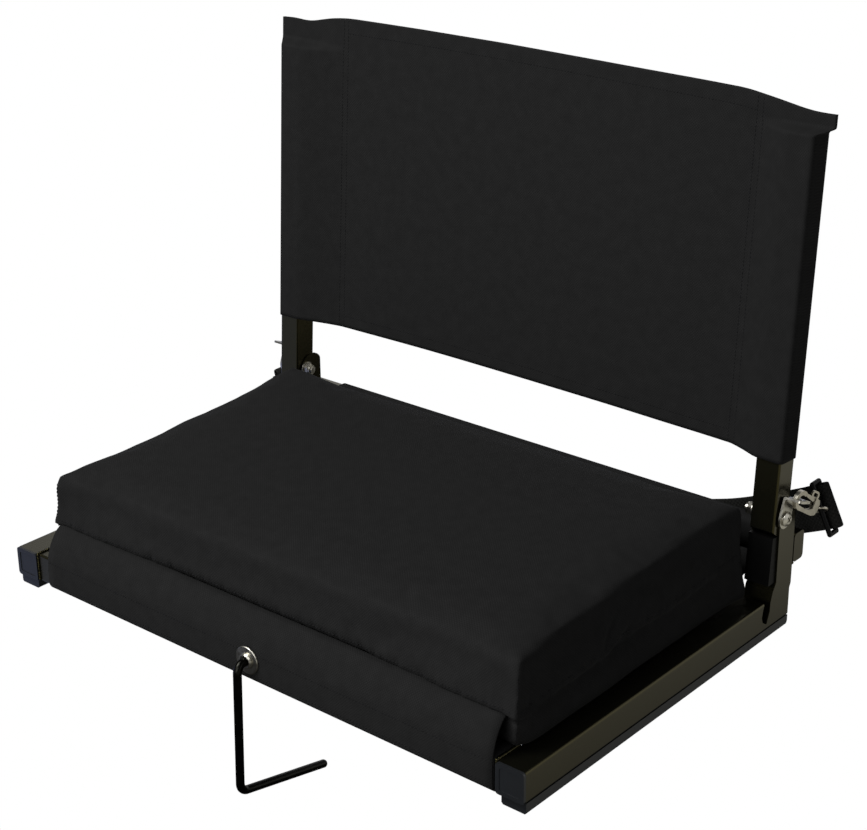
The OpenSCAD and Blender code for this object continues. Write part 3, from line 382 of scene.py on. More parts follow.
# %% Powder coat
def powder_coat():
    material, tree, shader = new_material("baked_powder_coat", "#0b0b08", 0.3, tint="#fff0a0")
    place = node(tree, "ShaderNodeTexCoord").outputs["Object"]
    cloud = noise(tree, place, 14.0, 4.0)
    tree.links.new(colour_between(tree, cloud, "#080806", "#0e0e0a"), shader.inputs["Base Color"])
    tree.links.new(ramp(tree, cloud, 0, 1, 0.22, 0.32), shader.inputs["Roughness"])
    # 1.5 mm orange peel
    raise_grain(tree, shader, noise(tree, place, 650.0, 2.0), 0.12, 0.0004)
    return material


# %% [markdown]
# ## Moulded plastic
# Plugs, strips, stop blocks and the strap's rings are moulded polypropylene or nylon. Their moulds
# are spark eroded, which leaves a fine even grain and a matt black. The nylon is drawn darker than
# its own black: painted shade for the stop blocks, which sit in shade beside the posts and hinge
# channels.

# %% Moulded plastic
def moulded_plastic(name, dark, pale, shine):
    material, tree, shader = new_material(name, pale, 0.5, specular=shine)
    place = node(tree, "ShaderNodeTexCoord").outputs["Object"]
    haze = noise(tree, place, 30.0, 3.0)
    tree.links.new(colour_between(tree, haze, dark, pale), shader.inputs["Base Color"])
    # spark grain of 0.8 mm
    raise_grain(tree, shader, noise(tree, place, 1250.0, 3.0), 0.2, 0.0003)
    return material


# %% [markdown]
# ## Plated steel
# The small hardware is steel with a thin plating: bright zinc on the tabs, washers and
# bolts, and a duller nickel on the cast snaps. Plating is a metal, so it has no colour of
# its own beside its reflection. Zinc looks cloudy, because the bath leaves soft patches of
# different gloss; casting leaves a fine pitting under the nickel.

# %% Plated steel
def plated(name, dark, pale, smooth, rough, pit):
    material, tree, shader = new_material(name, pale, smooth, metallic=1.0)
    place = node(tree, "ShaderNodeTexCoord").outputs["Object"]
    # patches of about 5 mm, and pits of 0.7 mm
    patch = noise(tree, place, 200.0, 5.0)
    tree.links.new(colour_between(tree, patch, dark, pale), shader.inputs["Base Color"])
    tree.links.new(ramp(tree, patch, 0, 1, smooth, rough), shader.inputs["Roughness"])
    raise_grain(tree, shader, noise(tree, place, 1400.0, 2.0), pit, 0.0002)
    return material


# %% [markdown]
# ## Coated canvas and webbing
# The cloth is a polyester canvas in plain weave, coated on the inside. Its threads are
# half a millimetre apart, too fine for the picture, so the weave is drawn at 1.2 mm. Two
# waves that cross, one along each thread direction, give the over and under. The webbing is
# woven coarser, and the sewing thread much finer.

# %% Woven cloth
def woven(name, dark, pale, thread_mm, roughness, strength, source="UV"):
    material, tree, shader = new_material(name, pale, roughness, specular=0.03)
    shader.inputs["Sheen Weight"].default_value = 0.015
    shader.inputs["Sheen Roughness"].default_value = 0.4
    place = node(tree, "ShaderNodeTexCoord").outputs[source]
    pitch = math.pi / (thread_mm * MM)
    axes = node(tree, "ShaderNodeSeparateXYZ", {"Vector": place}).outputs
    waves = [maths(tree, "SINE", maths(tree, "MULTIPLY", axes[axis], pitch)) for axis in "XY"]
    over_under = ramp(tree, maths(tree, "MULTIPLY", *waves), -1, 1, 0, 1)
    slub = noise(tree, place, 90.0, 4.0)
    shade = maths(tree, "MULTIPLY", over_under, slub)
    tree.links.new(colour_between(tree, shade, dark, pale), shader.inputs["Base Color"])
    raise_grain(tree, shader, maths(tree, "ADD", over_under, slub), strength, 0.0004)
    return material


COAT = powder_coat()
PLASTIC = moulded_plastic("moulded_plug_plastic", "#101215", "#181b1f", 0.5)
# near black: the nylon's own black, deepened as painted shade for the stop blocks beside the posts
NYLON_WITH_PAINTED_SHADE = moulded_plastic("black_nylon_painted_shade", "#040404", "#080808", 0.12)
ZINC = plated("bright_zinc_plate", "#9a978c", "#d8d5ca", 0.22, 0.42, 0.05)
NICKEL = plated("dull_nickel_casting", "#8f8b80", "#c9c4b6", 0.28, 0.5, 0.15)
BLACK_OXIDE = plated("black_oxide_bar", "#161614", "#2a2a26", 0.25, 0.4, 0.1)
CANVAS = woven("coated_canvas", "#1c1c1c", "#2b2b2b", 1.2, 0.85, 0.35)
WEBBING = woven("ribbed_webbing", "#1a1a19", "#30302e", 1.8, 0.75, 0.6)
THREAD = woven("polyester_thread", "#1a1a1b", "#2a2a2b", 0.4, 0.6, 0.3, source="Object")

# %% Finishes for the frame's own pieces
FINISHES = {
    "side_rail": COAT, "front_cross_tube": COAT, "rear_cross_tube": COAT, "back_upright": COAT,
    "rail_plug": PLASTIC, "skid_strip": PLASTIC, "upright_cap": PLASTIC,
    "back_stop": NYLON_WITH_PAINTED_SHADE, "strap_ring": NYLON_WITH_PAINTED_SHADE,
    "strap_tab": ZINC, "hinge_bolt": ZINC, "hinge_nut": ZINC, "hook_grommet": ZINC,
    "spring_seat": ZINC, "thrust_washer": ZINC, "hook_nut": ZINC, "hook_spring": ZINC,
    "snap_body": NICKEL, "snap_gate": NICKEL, "snap_swivel": NICKEL,
    "bench_hook": BLACK_OXIDE,
}
for name, piece in nodes.items():
    for start, finish in FINISHES.items():
        if name.startswith(start):
            piece.data.materials.clear()
            piece.data.materials.append(finish)
strap.data.materials.append(WEBBING)

# %% [markdown]
# ## Rows that follow a line
# Stitches and weld ripples are the same thing to a maker of meshes: small rounded lumps, set
# one after the other along a line. Geometry Nodes suit that. The line is cut into equal
# steps, a lump is stretched along the line at each step, and a seed makes the lumps a little
# uneven. One tree serves both, with other sizes.

# %% A tree that sets lumps along a line
ROW_SIZES = {"Pitch": 0.003, "Half length": 0.001, "Half width": 0.0003, "Unevenness": 0.1}


def row_tree(name, finish):
    tree = bpy.data.node_groups.new(name, "GeometryNodeTree")
    tree.interface.new_socket("Geometry", in_out="INPUT", socket_type="NodeSocketGeometry")
    for label in ROW_SIZES:
        tree.interface.new_socket(label, in_out="INPUT", socket_type="NodeSocketFloat")
    tree.interface.new_socket("Seed", in_out="INPUT", socket_type="NodeSocketInt")
    tree.interface.new_socket("Geometry", in_out="OUTPUT", socket_type="NodeSocketGeometry")
    given = node(tree, "NodeGroupInput").outputs
    curve = node(tree, "GeometryNodeMeshToCurve", {"Mesh": given["Geometry"]})
    cuts = {"Curve": curve.outputs["Curve"], "Length": given["Pitch"]}
    steps = node(tree, "GeometryNodeResampleCurve", cuts, mode="LENGTH")
    ahead = node(tree, "GeometryNodeInputTangent").outputs["Tangent"]
    aim = node(tree, "FunctionNodeAlignRotationToVector", {"Vector": ahead}, axis="Z")
    ball = node(tree, "GeometryNodeMeshUVSphere", {"Segments": 6, "Rings": 4, "Radius": 1.0})
    shape = node(tree, "ShaderNodeCombineXYZ", {
        "X": given["Half width"], "Y": given["Half width"], "Z": given["Half length"]})
    lump = node(tree, "GeometryNodeTransform", {
        "Geometry": ball.outputs["Mesh"], "Scale": shape.outputs["Vector"]})
    least, most = (maths(tree, way, 1.0, given["Unevenness"]) for way in ("SUBTRACT", "ADD"))
    # inputs 2 and 3 are the limits of a random number, and 8 is its seed
    size = node(tree, "FunctionNodeRandomValue", {2: least, 3: most, 8: given["Seed"]},
                data_type="FLOAT")
    placed = node(tree, "GeometryNodeInstanceOnPoints", {
        "Points": steps.outputs["Curve"], "Instance": lump.outputs["Geometry"],
        "Rotation": aim.outputs["Rotation"], "Scale": size.outputs[1]})
    real = node(tree, "GeometryNodeRealizeInstances", {"Geometry": placed.outputs["Instances"]})
    coloured = node(tree, "GeometryNodeSetMaterial", {
        "Geometry": real.outputs["Geometry"], "Material": finish})
    node(tree, "NodeGroupOutput", {"Geometry": coloured.outputs["Geometry"]})
    return tree


def row_along(name, lines, finish, body, slot, seed=1, **sizes_mm):
    """One piece of lumps along several lines, whose points are in millimetres."""
    mesh, points, edges = bpy.data.meshes.new(name), [], []
    for path in lines:
        edges += [(len(points) + i, len(points) + i + 1) for i in range(len(path) - 1)]
        points += [[c * MM for c in p] for p in path]
    mesh.from_pydata(points, edges, [])
    piece = in_scene(name, mesh)
    tree = row_tree(name + "_tree", finish)
    values = {
        "Pitch": sizes_mm["pitch"] * MM, "Half length": sizes_mm["length"] / 2 * MM,
        "Half width": sizes_mm["width"] / 2 * MM,
        "Unevenness": sizes_mm.get("uneven", 0.08), "Seed": seed,
    }
    rows = piece.modifiers.new("row", "NODES")
    rows.node_group = tree
    for item in tree.interface.items_tree:
        if item.in_out == "INPUT" and item.name in values:
            rows[item.identifier] = values[item.name]
    finish_modifiers(piece)
    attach(piece, body)
    print(name, len(piece.data.polygons), "faces")
    return piece


def laid_on(piece, path, lift=0.05):
    """The path moved to the nearest place on a piece, and lifted off it a little."""
    out = []
    for p in path:
        _, where, normal, _ = piece.closest_point_on_mesh(Vector(p) * MM)
        out.append(np.array(where) / MM + np.array(normal) * lift)
    return out


# %% [markdown]
# ## Welds
# The cross tubes are welded to the side frames. A weld bead is a row of overlapping
# ripples, each a drop of metal that froze over the last one. Under the paint they look like
# a string of soft lumps, and they catch small lights where flat steel would not.

# %% Weld beads
weld_lines = []
FRONT, REAR, TOP, BOTTOM = -174.6, -148.7, 34.6, 8.8  # the front tube's faces
RAIL_INSIDE, CHANNEL_BACK = 249.6, 180.2
for side in (-1, 1):
    inside = side * RAIL_INSIDE
    up_front = [(inside, FRONT, z) for z in np.linspace(BOTTOM + 2, TOP, 9)]
    weld_lines.append(up_front + [(inside, y, TOP) for y in np.linspace(FRONT + 1, REAR, 9)])
    weld_lines.append([(inside, REAR, z) for z in np.linspace(BOTTOM, TOP, 9)])
    # under and over the rear tube, along the back of the hinge channel
    for z in (54.9, 80.5):
        weld_lines.append([(side * x, CHANNEL_BACK, z) for x in np.linspace(251, 274.4, 8)])
row_along("weld_beads", weld_lines, COAT, "frame", "powder_coat",
          seed=3, pitch=1.5, length=2.6, width=3.0, uneven=0.16)

# %% [markdown]
# ## The cushion
# A block of foam in a boxed cover: a top panel, a border all round and a seam 25 mm above
# its underside, level with the flap in front. The cover is a little tight, so its faces swell
# and its sides pull in towards the middle. Cloth simulation gives exactly that: the box is
# inflated for a few frames, no point moves further than a cap, and the sewn corners are held.
# The seam is drawn in afterwards, because the remesh would lose it.

# %% Cushion block
CUSHION_W, CUSHION_D, CUSHION_H = 493.0, 286.0, 71.0
CUSHION_MID = np.array([9.0, -14.75, 35.5])
RISE, GROW, CROWN, SEAM_H = 10.0, 4.0, 5.0, 25.0


def along(y):
    """0 at the cushion's front, 1 at its rear."""
    return (y + CUSHION_D / 2) / CUSHION_D


def cushion_point(x, y, h):
    rear = along(y)
    return CUSHION_MID + np.array([x, y, h * (1 + GROW / CUSHION_H * rear) + RISE * rear])


def rounded_outline(a, b, r, per_side=24, per_corner=6):
    """A rounded rectangle, as points counter-clockwise."""
    out = []
    corners = [(a - r, b - r, 0), (r - a, b - r, 90), (r - a, r - b, 180), (a - r, r - b, 270)]
    for i, (cx, cy, start) in enumerate(corners):
        for k in range(per_corner + 1):
            t = math.radians(start + 90 * k / per_corner)
            out.append((cx + r * math.cos(t), cy + r * math.sin(t)))
        nx, ny, nstart = corners[(i + 1) % 4]
        t = math.radians(nstart)
        end, begin = (nx + r * math.cos(t), ny + r * math.sin(t)), out[-1]
        for k in range(1, per_side):
            f = k / per_side
            out.append((begin[0] + (end[0] - begin[0]) * f, begin[1] + (end[1] - begin[1]) * f))
    return out


# how far in from the full outline, and how high: underside, border, top edge
PROFILE = [
    (60, 0), (30, 0), (4, 0.2), (1, 1.5), (0, 6), (0, 16), (0, 25), (0, 34), (0, 48), (0, 60),
    (0.6, 66), (2.6, 69.8), (6.5, 71.4), (40, 71 + CROWN * 0.4), (90, 71 + CROWN * 0.7),
]
PULL_IN = 1.5  # how far each side pulls in at its middle, before it swells
CORNER_R = 3.0
points = []
for inset, h in PROFILE:
    ring = rounded_outline(CUSHION_W / 2 - inset, CUSHION_D / 2 - inset, CORNER_R)
    per_ring = len(ring)
    pull = PULL_IN * max(0.0, 1 - inset / 20)
    for x, y in ring:
        in_x = pull * (1 - min(1, abs(y) / (CUSHION_D / 2 - inset)) ** 2)
        in_y = pull * (1 - min(1, abs(x) / (CUSHION_W / 2 - inset)) ** 2)
        points.append(cushion_point(x - math.copysign(in_x, x), y - math.copysign(in_y, y), h))
faces = grid_faces(len(PROFILE), per_ring, ring=True)
faces += [tuple(range(per_ring - 1, -1, -1)), tuple(range(len(points) - per_ring, len(points)))]
cushion = mesh_piece("cushion", points, faces)


# %% Inflate the cushion
def from_corner(points):
    """Distance to the nearest upright corner of the border, in millimetres."""
    local = np.abs(points - CUSHION_MID)
    return np.hypot(CUSHION_W / 2 - local[:, 0], CUSHION_D / 2 - local[:, 1])


def even_faces(piece, voxel):
    """Rebuilds a piece with faces of one size, in millimetres."""
    remesh = piece.modifiers.new("even_faces", "REMESH")
    remesh.mode, remesh.voxel_size = "VOXEL", voxel * MM
    return finish_modifiers(piece)


def inflate(piece, pressure, cap, frames=20):
    """Cloth blown up from inside; no point moves further than cap, in millimetres."""
    before = np.array([v.co for v in piece.data.vertices])
    cloth = piece.modifiers.new("swell", "CLOTH")
    cloth.settings.use_pressure = True
    cloth.settings.uniform_pressure_force = pressure
    cloth.settings.quality = 5
    cloth.settings.effector_weights.gravity = 0
    cloth.settings.tension_stiffness = cloth.settings.compression_stiffness = 12
    cloth.settings.shear_stiffness, cloth.settings.bending_stiffness = 4, 2
    cloth.point_cache.frame_start, cloth.point_cache.frame_end = 1, frames
    for number in range(1, frames + 1):
        bpy.context.scene.frame_set(number)
    finish_modifiers(piece)
    bpy.context.scene.frame_set(1)
    move = np.array([v.co for v in piece.data.vertices]) - before
    far = np.linalg.norm(move, axis=1)
    # small moves are kept, large ones level out at the cap, and the sewn corners hardly move
    held = 0.1 + 0.9 * smooth_step(6, 70, from_corner(before / MM))
    kept = cap * MM * np.tanh(far / (cap * MM)) * held
    placed = before + move * (kept / np.maximum(far, 1e-9))[:, None]
    piece.data.vertices.foreach_set("co", placed.astype(np.float32).ravel())
    piece.data.update()
    print(piece.name, "swells", round(float(kept.max()) / MM, 1), "mm at most")


even_faces(cushion, 4.5)
inflate(cushion, pressure=4, cap=3.5)
smooth = cushion.modifiers.new("one_division", "SUBSURF")
smooth.levels = smooth.render_levels = 1
finish_modifiers(cushion)


# %% Square the cushion's corners
HALF = np.array([CUSHION_W, CUSHION_D]) / 2
SOFT_R, SQUARED = 13.0, 0.8  # how far from a corner, and how much of the way


def cushion_height(points):
    """Height over the cushion's underside, in millimetres of the border."""
    rear = along(points[:, 1] - CUSHION_MID[1])
    return (points[:, 2] - CUSHION_MID[2] - RISE * rear) / (1 + GROW / CUSHION_H * rear)


co = np.array([v.co for v in cushion.data.vertices]) / MM
local = co - CUSHION_MID
corner_reach = np.abs(local[from_corner(co) < 25, :2]).max(0)
print("corners reach", corner_reach.round(1), "of", HALF)
# the border keeps its full size, and its sewn corners are crisp rather than round
local[:, :2] *= HALF / corner_reach
past = (np.abs(local[:, :2]) - HALF + SOFT_R) / SOFT_R
in_corner = (past > 0).all(1)
stretch = np.ones(len(co))
stretch[in_corner] = np.linalg.norm(past[in_corner], axis=1) / past[in_corner].max(1)
stretch = 1 + (stretch - 1) * SQUARED
for axis in (0, 1):
    moved = HALF[axis] - SOFT_R + past[:, axis] * stretch * SOFT_R
    local[:, axis] = np.where(in_corner, np.sign(local[:, axis]) * moved, local[:, axis])

# %% Bring the border back to its reach
h = cushion_height(local + CUSHION_MID)


WINDOW, FADE = 9, 11  # beside each station along a side, and past the two heights


def draw_out(axis, side, low, high, share):
    """Bring one side of the border back to its full reach between two heights."""
    reach, other = HALF[axis], HALF[1 - axis]
    out, run = local[:, axis] * side, local[:, 1 - axis]
    belt = (h > low) & (h < high) & (out > reach - 30)
    stations = np.linspace(4 - other, other - 4, 26)
    short = [reach - out[belt & (np.abs(run - s) < WINDOW)].max() for s in stations]
    fade = smooth_step(low - FADE, low, h) * smooth_step(high + FADE, high, h)
    fade *= smooth_step(reach - 24, reach - 8, out)
    local[:, axis] += side * share * fade * np.interp(run, stations, short)
    print("side", "xy"[axis], side, "was drawn in", np.round([min(short), max(short)], 1))


# the swollen panels draw the border in: along its upper edge, and low on the right
for axis, side in ((0, -1), (0, 1), (1, -1), (1, 1)):
    draw_out(axis, side, 36, 68, 0.8)
draw_out(0, 1, 1, 13, 1.0)
co = local + CUSHION_MID
# it lies flat on the sling
rest = CUSHION_MID[2] + RISE * along(local[:, 1]) - 0.2
co[:, 2] = np.where((h < 8) & (local[:, 0] < 239), np.maximum(co[:, 2], rest), co[:, 2])
h = cushion_height(co)


# %% Draw in the seam
def bell(value, middle, width):
    """1 at the middle, falling evenly to both sides."""
    return np.exp(-(((value - middle) / width) ** 2))


BORDER = 12  # the border counts from this far inside the outline
GROOVE = 1.7
out_x, out_y = (np.abs(local[:, :2]) - (HALF - BORDER)).T
on_border = smooth_step(0, 6, np.maximum(out_x, out_y))
groove = bell(h, SEAM_H - 2, 1.9) * on_border
# the seam's thread gathers the cloth into small puckers beside it
way = np.where(out_x > out_y, local[:, 1], local[:, 0])
PUCKERS = ((0.3, 0.52, 0.4), (0.24, 0.83, 2.1), (0.2, 0.31, 4.0))  # height, waves and start
pucker = sum(a * np.sin(way * k + p) for a, k, p in PUCKERS)
pucker *= bell(np.abs(h - SEAM_H), 6, 5) * on_border
for axis, out in ((0, out_x), (1, out_y)):
    co[:, axis] -= np.sign(local[:, axis]) * (GROOVE * groove + pucker) * (out > 0)

# %% Flap, lower edge and fold
FLAP_HANG, RAIL_Z, RAIL_BULGE, CORNER_SAG, FOLD_DEEP = 2.7, 34.9, 3.4, (2.0, 4.5), 3.2
from_front = local[:, 1] + HALF[1]
# in front the border hangs a little over the flap that meets it at the seam
over_flap = smooth_step(24.6, 27, h) * smooth_step(47, 29, h) * smooth_step(12, 2, from_front)
co[:, 1] -= FLAP_HANG * over_flap
# on the right the lower edge hangs off the sling and lies on the rail
at_right = smooth_step(238.0, 242.5, local[:, 0])
along_side = smooth_step(0, 14, from_front) * smooth_step(296, 284, from_front)
hanging = (h < SEAM_H) * at_right
share = np.clip(h / SEAM_H, 0, 1) ** 1.25
rear = along(local[:, 1])
seam_z = CUSHION_MID[2] + RISE * rear + SEAM_H * (1 + GROW / CUSHION_H * rear)
co[:, 2] += hanging * (RAIL_Z + (seam_z - RAIL_Z) * share - co[:, 2]) * along_side
co[:, 0] += RAIL_BULGE * at_right * bell(h, 5, 9) * along_side
# its rear corner sags outward
rear_corner = at_right * smooth_step(250, 284, from_front) * bell(h, 4, 16)
co[:, :2] += rear_corner[:, None] * CORNER_SAG
# a fold of the border runs from the front corner down along the side
fold_h = 17 + 15 * np.exp(-from_front / 24) + from_front * 0.03
fold = smooth_step(fold_h + 3, fold_h - 3, h) * smooth_step(0, 14, h)
fold *= smooth_step(200, 60, from_front) * smooth_step(0, 12, from_front)
co[:, 0] += FOLD_DEEP * at_right * fold
cushion.data.vertices.foreach_set("co", (co * MM).astype(np.float32).ravel())
cushion.data.update()

# %% The cover's own map: top from above, sides along and up
uv = cushion.data.uv_layers.new(name="cloth")
for face in cushion.data.polygons:
    normal = face.normal
    for index in face.loop_indices:
        v = cushion.data.vertices[cushion.data.loops[index].vertex_index].co
        if abs(normal.z) > 0.6:
            uv.data[index].uv = (v.x, v.y)
        elif abs(normal.y) > abs(normal.x):
            uv.data[index].uv = (v.x, v.z)
        else:
            uv.data[index].uv = (v.y, v.z)
cushion.data.materials.append(CANVAS)
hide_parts("seat_cushion")
low, high = np.array(cushion.bound_box).min(0), np.array(cushion.bound_box).max(0)
print("cushion box", (low / MM).round(1), (high / MM).round(1))

# %% [markdown]
# The cover's border is sewn shut at its upright corners, and the seam all round is stitched
# a few millimetres above its groove. These rows lie on the finished cushion, wherever the
# simulation has put its surface.

# %% Cushion stitches
a, b = HALF + 2
SQUARE = [(-1, -1), (1, -1), (1, 1), (-1, 1)]


def ring_at(height, count=120):
    """Points round the cushion at one height of the border."""
    corners = [(sx * a, sy * b) for sx, sy in SQUARE + SQUARE[:1]]
    out = []
    for (x0, y0), (x1, y1) in zip(corners, corners[1:]):
        for f in np.linspace(0.01, 0.99, count):
            out.append(cushion_point(x0 + (x1 - x0) * f, y0 + (y1 - y0) * f, height))
    return out


corner_rows = []
for sx, sy in SQUARE:
    upright = [cushion_point(sx * HALF[0], sy * b, h) for h in np.linspace(4, 66, 40)]
    corner_rows.append(laid_on(cushion, upright))
corner_rows.append(laid_on(cushion, ring_at(SEAM_H + 5.5), lift=0.02))
cushion_seams = row_along("cushion_stitches", corner_rows, THREAD, "frame", "woven_black",
                          seed=5, pitch=3.4, length=2.6, width=0.8)

# %% [markdown]
# ## The back
# The back is one piece of canvas folded double. Two rows of stitches down each side close a
# sleeve, and the posts push up into the sleeves. Over the posts the sleeve ends in a flat
# hem. A sleeve that is squashed flat is wider than one round a post, so the hem's corners
# stand out past the posts like small ears, as they do on the real chair. The whole back is
# one loop of cloth, swept up from the lower hem, and the loop changes from round the posts
# to flat at the top.

# %% Back panel
HINGE = np.array([0, 159.54, 103.0])
RECLINE = math.radians(3.7)
POST_X = 262.7
SLEEVE = 12.5  # half the width of a filled sleeve
SLEEVE_R = 3.2  # its outer edges
SEAM_LEFT, SEAM_RIGHT = 203.0, 221.0  # the panel's canvas sits 9 mm to the right, like the seat's
PANEL_LOW = 50.0
POST_TOP = 307.0
LAYER = 1.3  # from the panel's middle to the face of one layer
FLAT_END = 284.0  # how far out the flat hem reaches
SIDEWAYS = 1.6  # the flat hem sits a little to the right of the posts' middle


def on_back(x, depth, height):
    """A point on the back: across, behind the posts' middle, up along the posts."""
    c, s = math.cos(RECLINE), math.sin(RECLINE)
    return np.array([x, HINGE[1] + depth * c + height * s, HINGE[2] + height * c - depth * s])


def sleeve_path(seam):
    """Across and depth along half the cloth loop of a sleeve, seam to outer middle, front side."""
    r, inner, outer = SLEEVE_R, POST_X - SLEEVE, POST_X + SLEEVE
    path = [(seam, -LAYER)]
    for f in np.linspace(0.08, 0.92, 12):
        path.append((seam + (inner - seam) * f, -LAYER - (SLEEVE - LAYER) * (f ** 1.25)))
    path += [(x, -SLEEVE) for x in np.linspace(inner + 1.5, outer - r, 10)]
    for angle in (22, 45, 68, 90):
        s, c = sin_cos(angle)
        path.append((outer - r + r * s, -SLEEVE + r - r * c))
    return np.array(path + [(outer, d) for d in np.linspace(-SLEEVE + r, 0, 5)[1:]])


def flat_path(half, seam):
    """The same points on the flat hem; past the sleeve's corner all of them lie on its end."""
    on_end = 5
    steps = run_along(half)
    across = np.minimum(steps / steps[-1 - on_end], 1.0)
    end_depth = -LAYER * np.clip(np.arange(len(half))[::-1] / on_end, 0, 1)
    return np.column_stack([seam + across * (FLAT_END - seam), end_depth])


left_half, right_half = sleeve_path(SEAM_LEFT), sleeve_path(SEAM_RIGHT)
left_flat, right_flat = flat_path(left_half, SEAM_LEFT), flat_path(right_half, SEAM_RIGHT)
middle_x = np.linspace(-SEAM_LEFT, SEAM_RIGHT, 61)[1:-1]
middle = np.column_stack([middle_x, np.full(len(middle_x), -LAYER)])

# loop: front from left to right, round the right sleeve, back from right to left, round the left
round_front = np.concatenate([left_half[::-1] * [-1, 1], middle, right_half])
flat_front = np.concatenate([left_flat[::-1] * [-1, 1], middle, right_flat])
round_loop = np.concatenate([round_front, (round_front * [1, -1])[::-1][1:-1]])
flat_loop = np.concatenate([flat_front, (flat_front * [1, -1])[::-1][1:-1]])
front_count = len(round_front)

# %% The loop of cloth, from the lower hem to the top
TOP_LINE = np.array([
    (-300, 331), (-283, 331.2), (-270, 332), (-262, 331.2), (-254, 330.8), (-245, 332),
    (-232, 335), (-220, 337), (-203, 338.5), (-119, 338.8), (-31, 338.2), (71, 336.4),
    (165, 334.4), (206, 333.3), (232, 329.4), (259, 324.8), (271, 324), (285, 324.3), (300, 324.6),
])


def top_of(x):
    """The hem's height, with its corners eased."""
    return sum(np.interp(x + shift, *TOP_LINE.T) for shift in (-6, -2, 2, 6)) / 4


def low_of(x):
    """The lower hem hangs highest in the middle, and a little lower on the right."""
    return PANEL_LOW + 3.6 * (1 - (np.clip(x, -275, 275) / 275) ** 2) - 1.5 * x / 275


levels = np.concatenate([np.linspace(0, 0.86, 70), np.linspace(0.865, 1, 28)])
rng = np.random.default_rng(7)
# waves across, waves up, start and height of each ripple
RIPPLE_LIMITS = ((0.008, 0.03), (-0.02, 0.02), (0, 6.28), (0.1, 0.3))
waves = [[rng.uniform(*limits) for limits in RIPPLE_LIMITS] for _ in range(9)]
points, uvs = [], []
loop_run = run_along(flat_loop)
for t in levels:
    for k, (r_pt, f_pt) in enumerate(zip(round_loop, flat_loop)):
        low_h, top_h = low_of(r_pt[0]), top_of(f_pt[0])
        height = low_h + (top_h - low_h) * t
        close = smooth_step(POST_TOP + 0.6, POST_TOP + 7.5, height)
        x, depth = r_pt * (1 - close) + f_pt * close
        x += SIDEWAYS * close
        inner = smooth_step(0, 60, SEAM_LEFT - abs(r_pt[0]))
        ripple = sum(a * math.sin(kx * x + kz * height + p) for kx, kz, p, a in waves) * inner
        # the two layers part a little between the rows of stitches
        swell = 0.5 * inner * math.sin(math.pi * np.clip((height - PANEL_LOW) / 275, 0, 1))
        depth += ripple + (swell if depth > 0 else -swell)
        points.append(on_back(x, depth, height))
        uvs.append((loop_run[k] * MM, height * MM))
count = len(round_loop)
back = mesh_piece("back_cloth", points, grid_faces(len(levels), count, ring=True), uvs)
print("back cloth", len(points), "points")

# %% Close the top hem
# front and back layers meet along the top
top_row = (len(levels) - 1) * count
top_faces = []
for c in range(front_count - 1):
    a, b = top_row + c, top_row + c + 1
    d, e = top_row + (count - c) % count, top_row + (count - c - 1) % count
    quad = [a, d, e, b]
    top_faces.append([v for i, v in enumerate(quad) if v not in quad[:i]])
mesh = bmesh.new()
mesh.from_mesh(back.data)
mesh.verts.ensure_lookup_table()
layer = mesh.loops.layers.uv["cloth"]
for f in top_faces:
    if len(f) > 2:
        made = mesh.faces.new([mesh.verts[i] for i in f])
        for loop in made.loops:
            loop[layer].uv = (loop.vert.co.x, loop.vert.co.z)
bmesh.ops.recalc_face_normals(mesh, faces=mesh.faces)
mesh.to_mesh(back.data)
mesh.free()
thicken(back, 1.0, -1.0)
back.data.materials.append(CANVAS)
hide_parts("back_panel")
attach(back, "back")

# %% Stitches of the back
# two rows down each sleeve's seam, and one along each hem, on both faces
back_rows = []
wide = np.linspace(-199, 217, 180)
for depth in (-6, 6):
    rows = []
    for x in (-206, -201, 219, 224):
        heights = np.linspace(low_of(x) + 3, top_of(x) - 3, 120)
        rows.append([on_back(x, depth, h) for h in heights])
    rows.append([on_back(x, depth, low_of(x) + 11) for x in wide])
    rows.append([on_back(x, depth, top_of(x) - 13) for x in wide])
    back_rows += [laid_on(back, row) for row in rows]
row_along("back_stitches", back_rows, THREAD, "back", "woven_black",
          seed=7, pitch=3.2, length=2.3, width=0.7)

# %% [markdown]
# ## The sling and its skirt
# The cushion lies on a sling: one width of canvas with a sleeve round the front tube and
# another round the rear one. In front a flap of the same cloth goes up from the sleeve to the
# cushion's seam and hides the tube. Both are strips of cloth with the same side profile all
# the way across, so each is drawn once from the side and swept across the chair.

# %% Sling and skirt
SLING_X0, SLING_X1 = -232.0, 248.0


def swept_cloth(name, profile, thickness, x0, x1, columns=60, flare=lambda f: (0, 0)):
    """A strip swept along X from a side profile; flare shifts its two ends along the profile."""
    runs = run_along(profile)
    points, uvs = [], []
    for f in np.linspace(0, 1, columns):
        for (y, z), s in zip(profile, runs):
            left, right = flare(s / runs[-1])
            x = x0 + left + (x1 + right - x0 - left) * f
            points.append((x, y, z))
            uvs.append((x * MM, s * MM))
    piece = mesh_piece(name, points, grid_faces(columns, len(profile)), uvs)
    thicken(piece, thickness, 0.0)
    piece.data.materials.append(CANVAS)
    return piece, runs[-1]


def corner(cy, cz, r, start, end):
    """Five points round a corner of a profile, between two angles."""
    turns = [sin_cos(a) for a in np.linspace(start, end, 5)]
    return [(cy + r * c, cz + r * s) for s, c in turns]


# each tube's centre, half its sleeve in depth and height, and the sleeve's corners
FY, FZ, FH, FRONT_R = -161.65, 21.7, 13.6, 2.4
RY, RZ, RHY, RHZ, REAR_R = 187.55, 67.7, 8.4, 13.6, 4
SLING_FRONT, CUSHION_FRONT, CUSHION_REAR = -152, -157.75, 119.25
SLING_Z, SLING_SLOPE, SLING_TOP = 34.3, 0.035, 54.1


def under_cushion(y):
    """The sling lies along the cushion's underside, then rises to the rear tube."""
    rest = SLING_Z + SLING_SLOPE * (min(y, CUSHION_REAR) - CUSHION_FRONT)
    return rest + (SLING_TOP - rest) * smooth_step(CUSHION_REAR, RY, y)


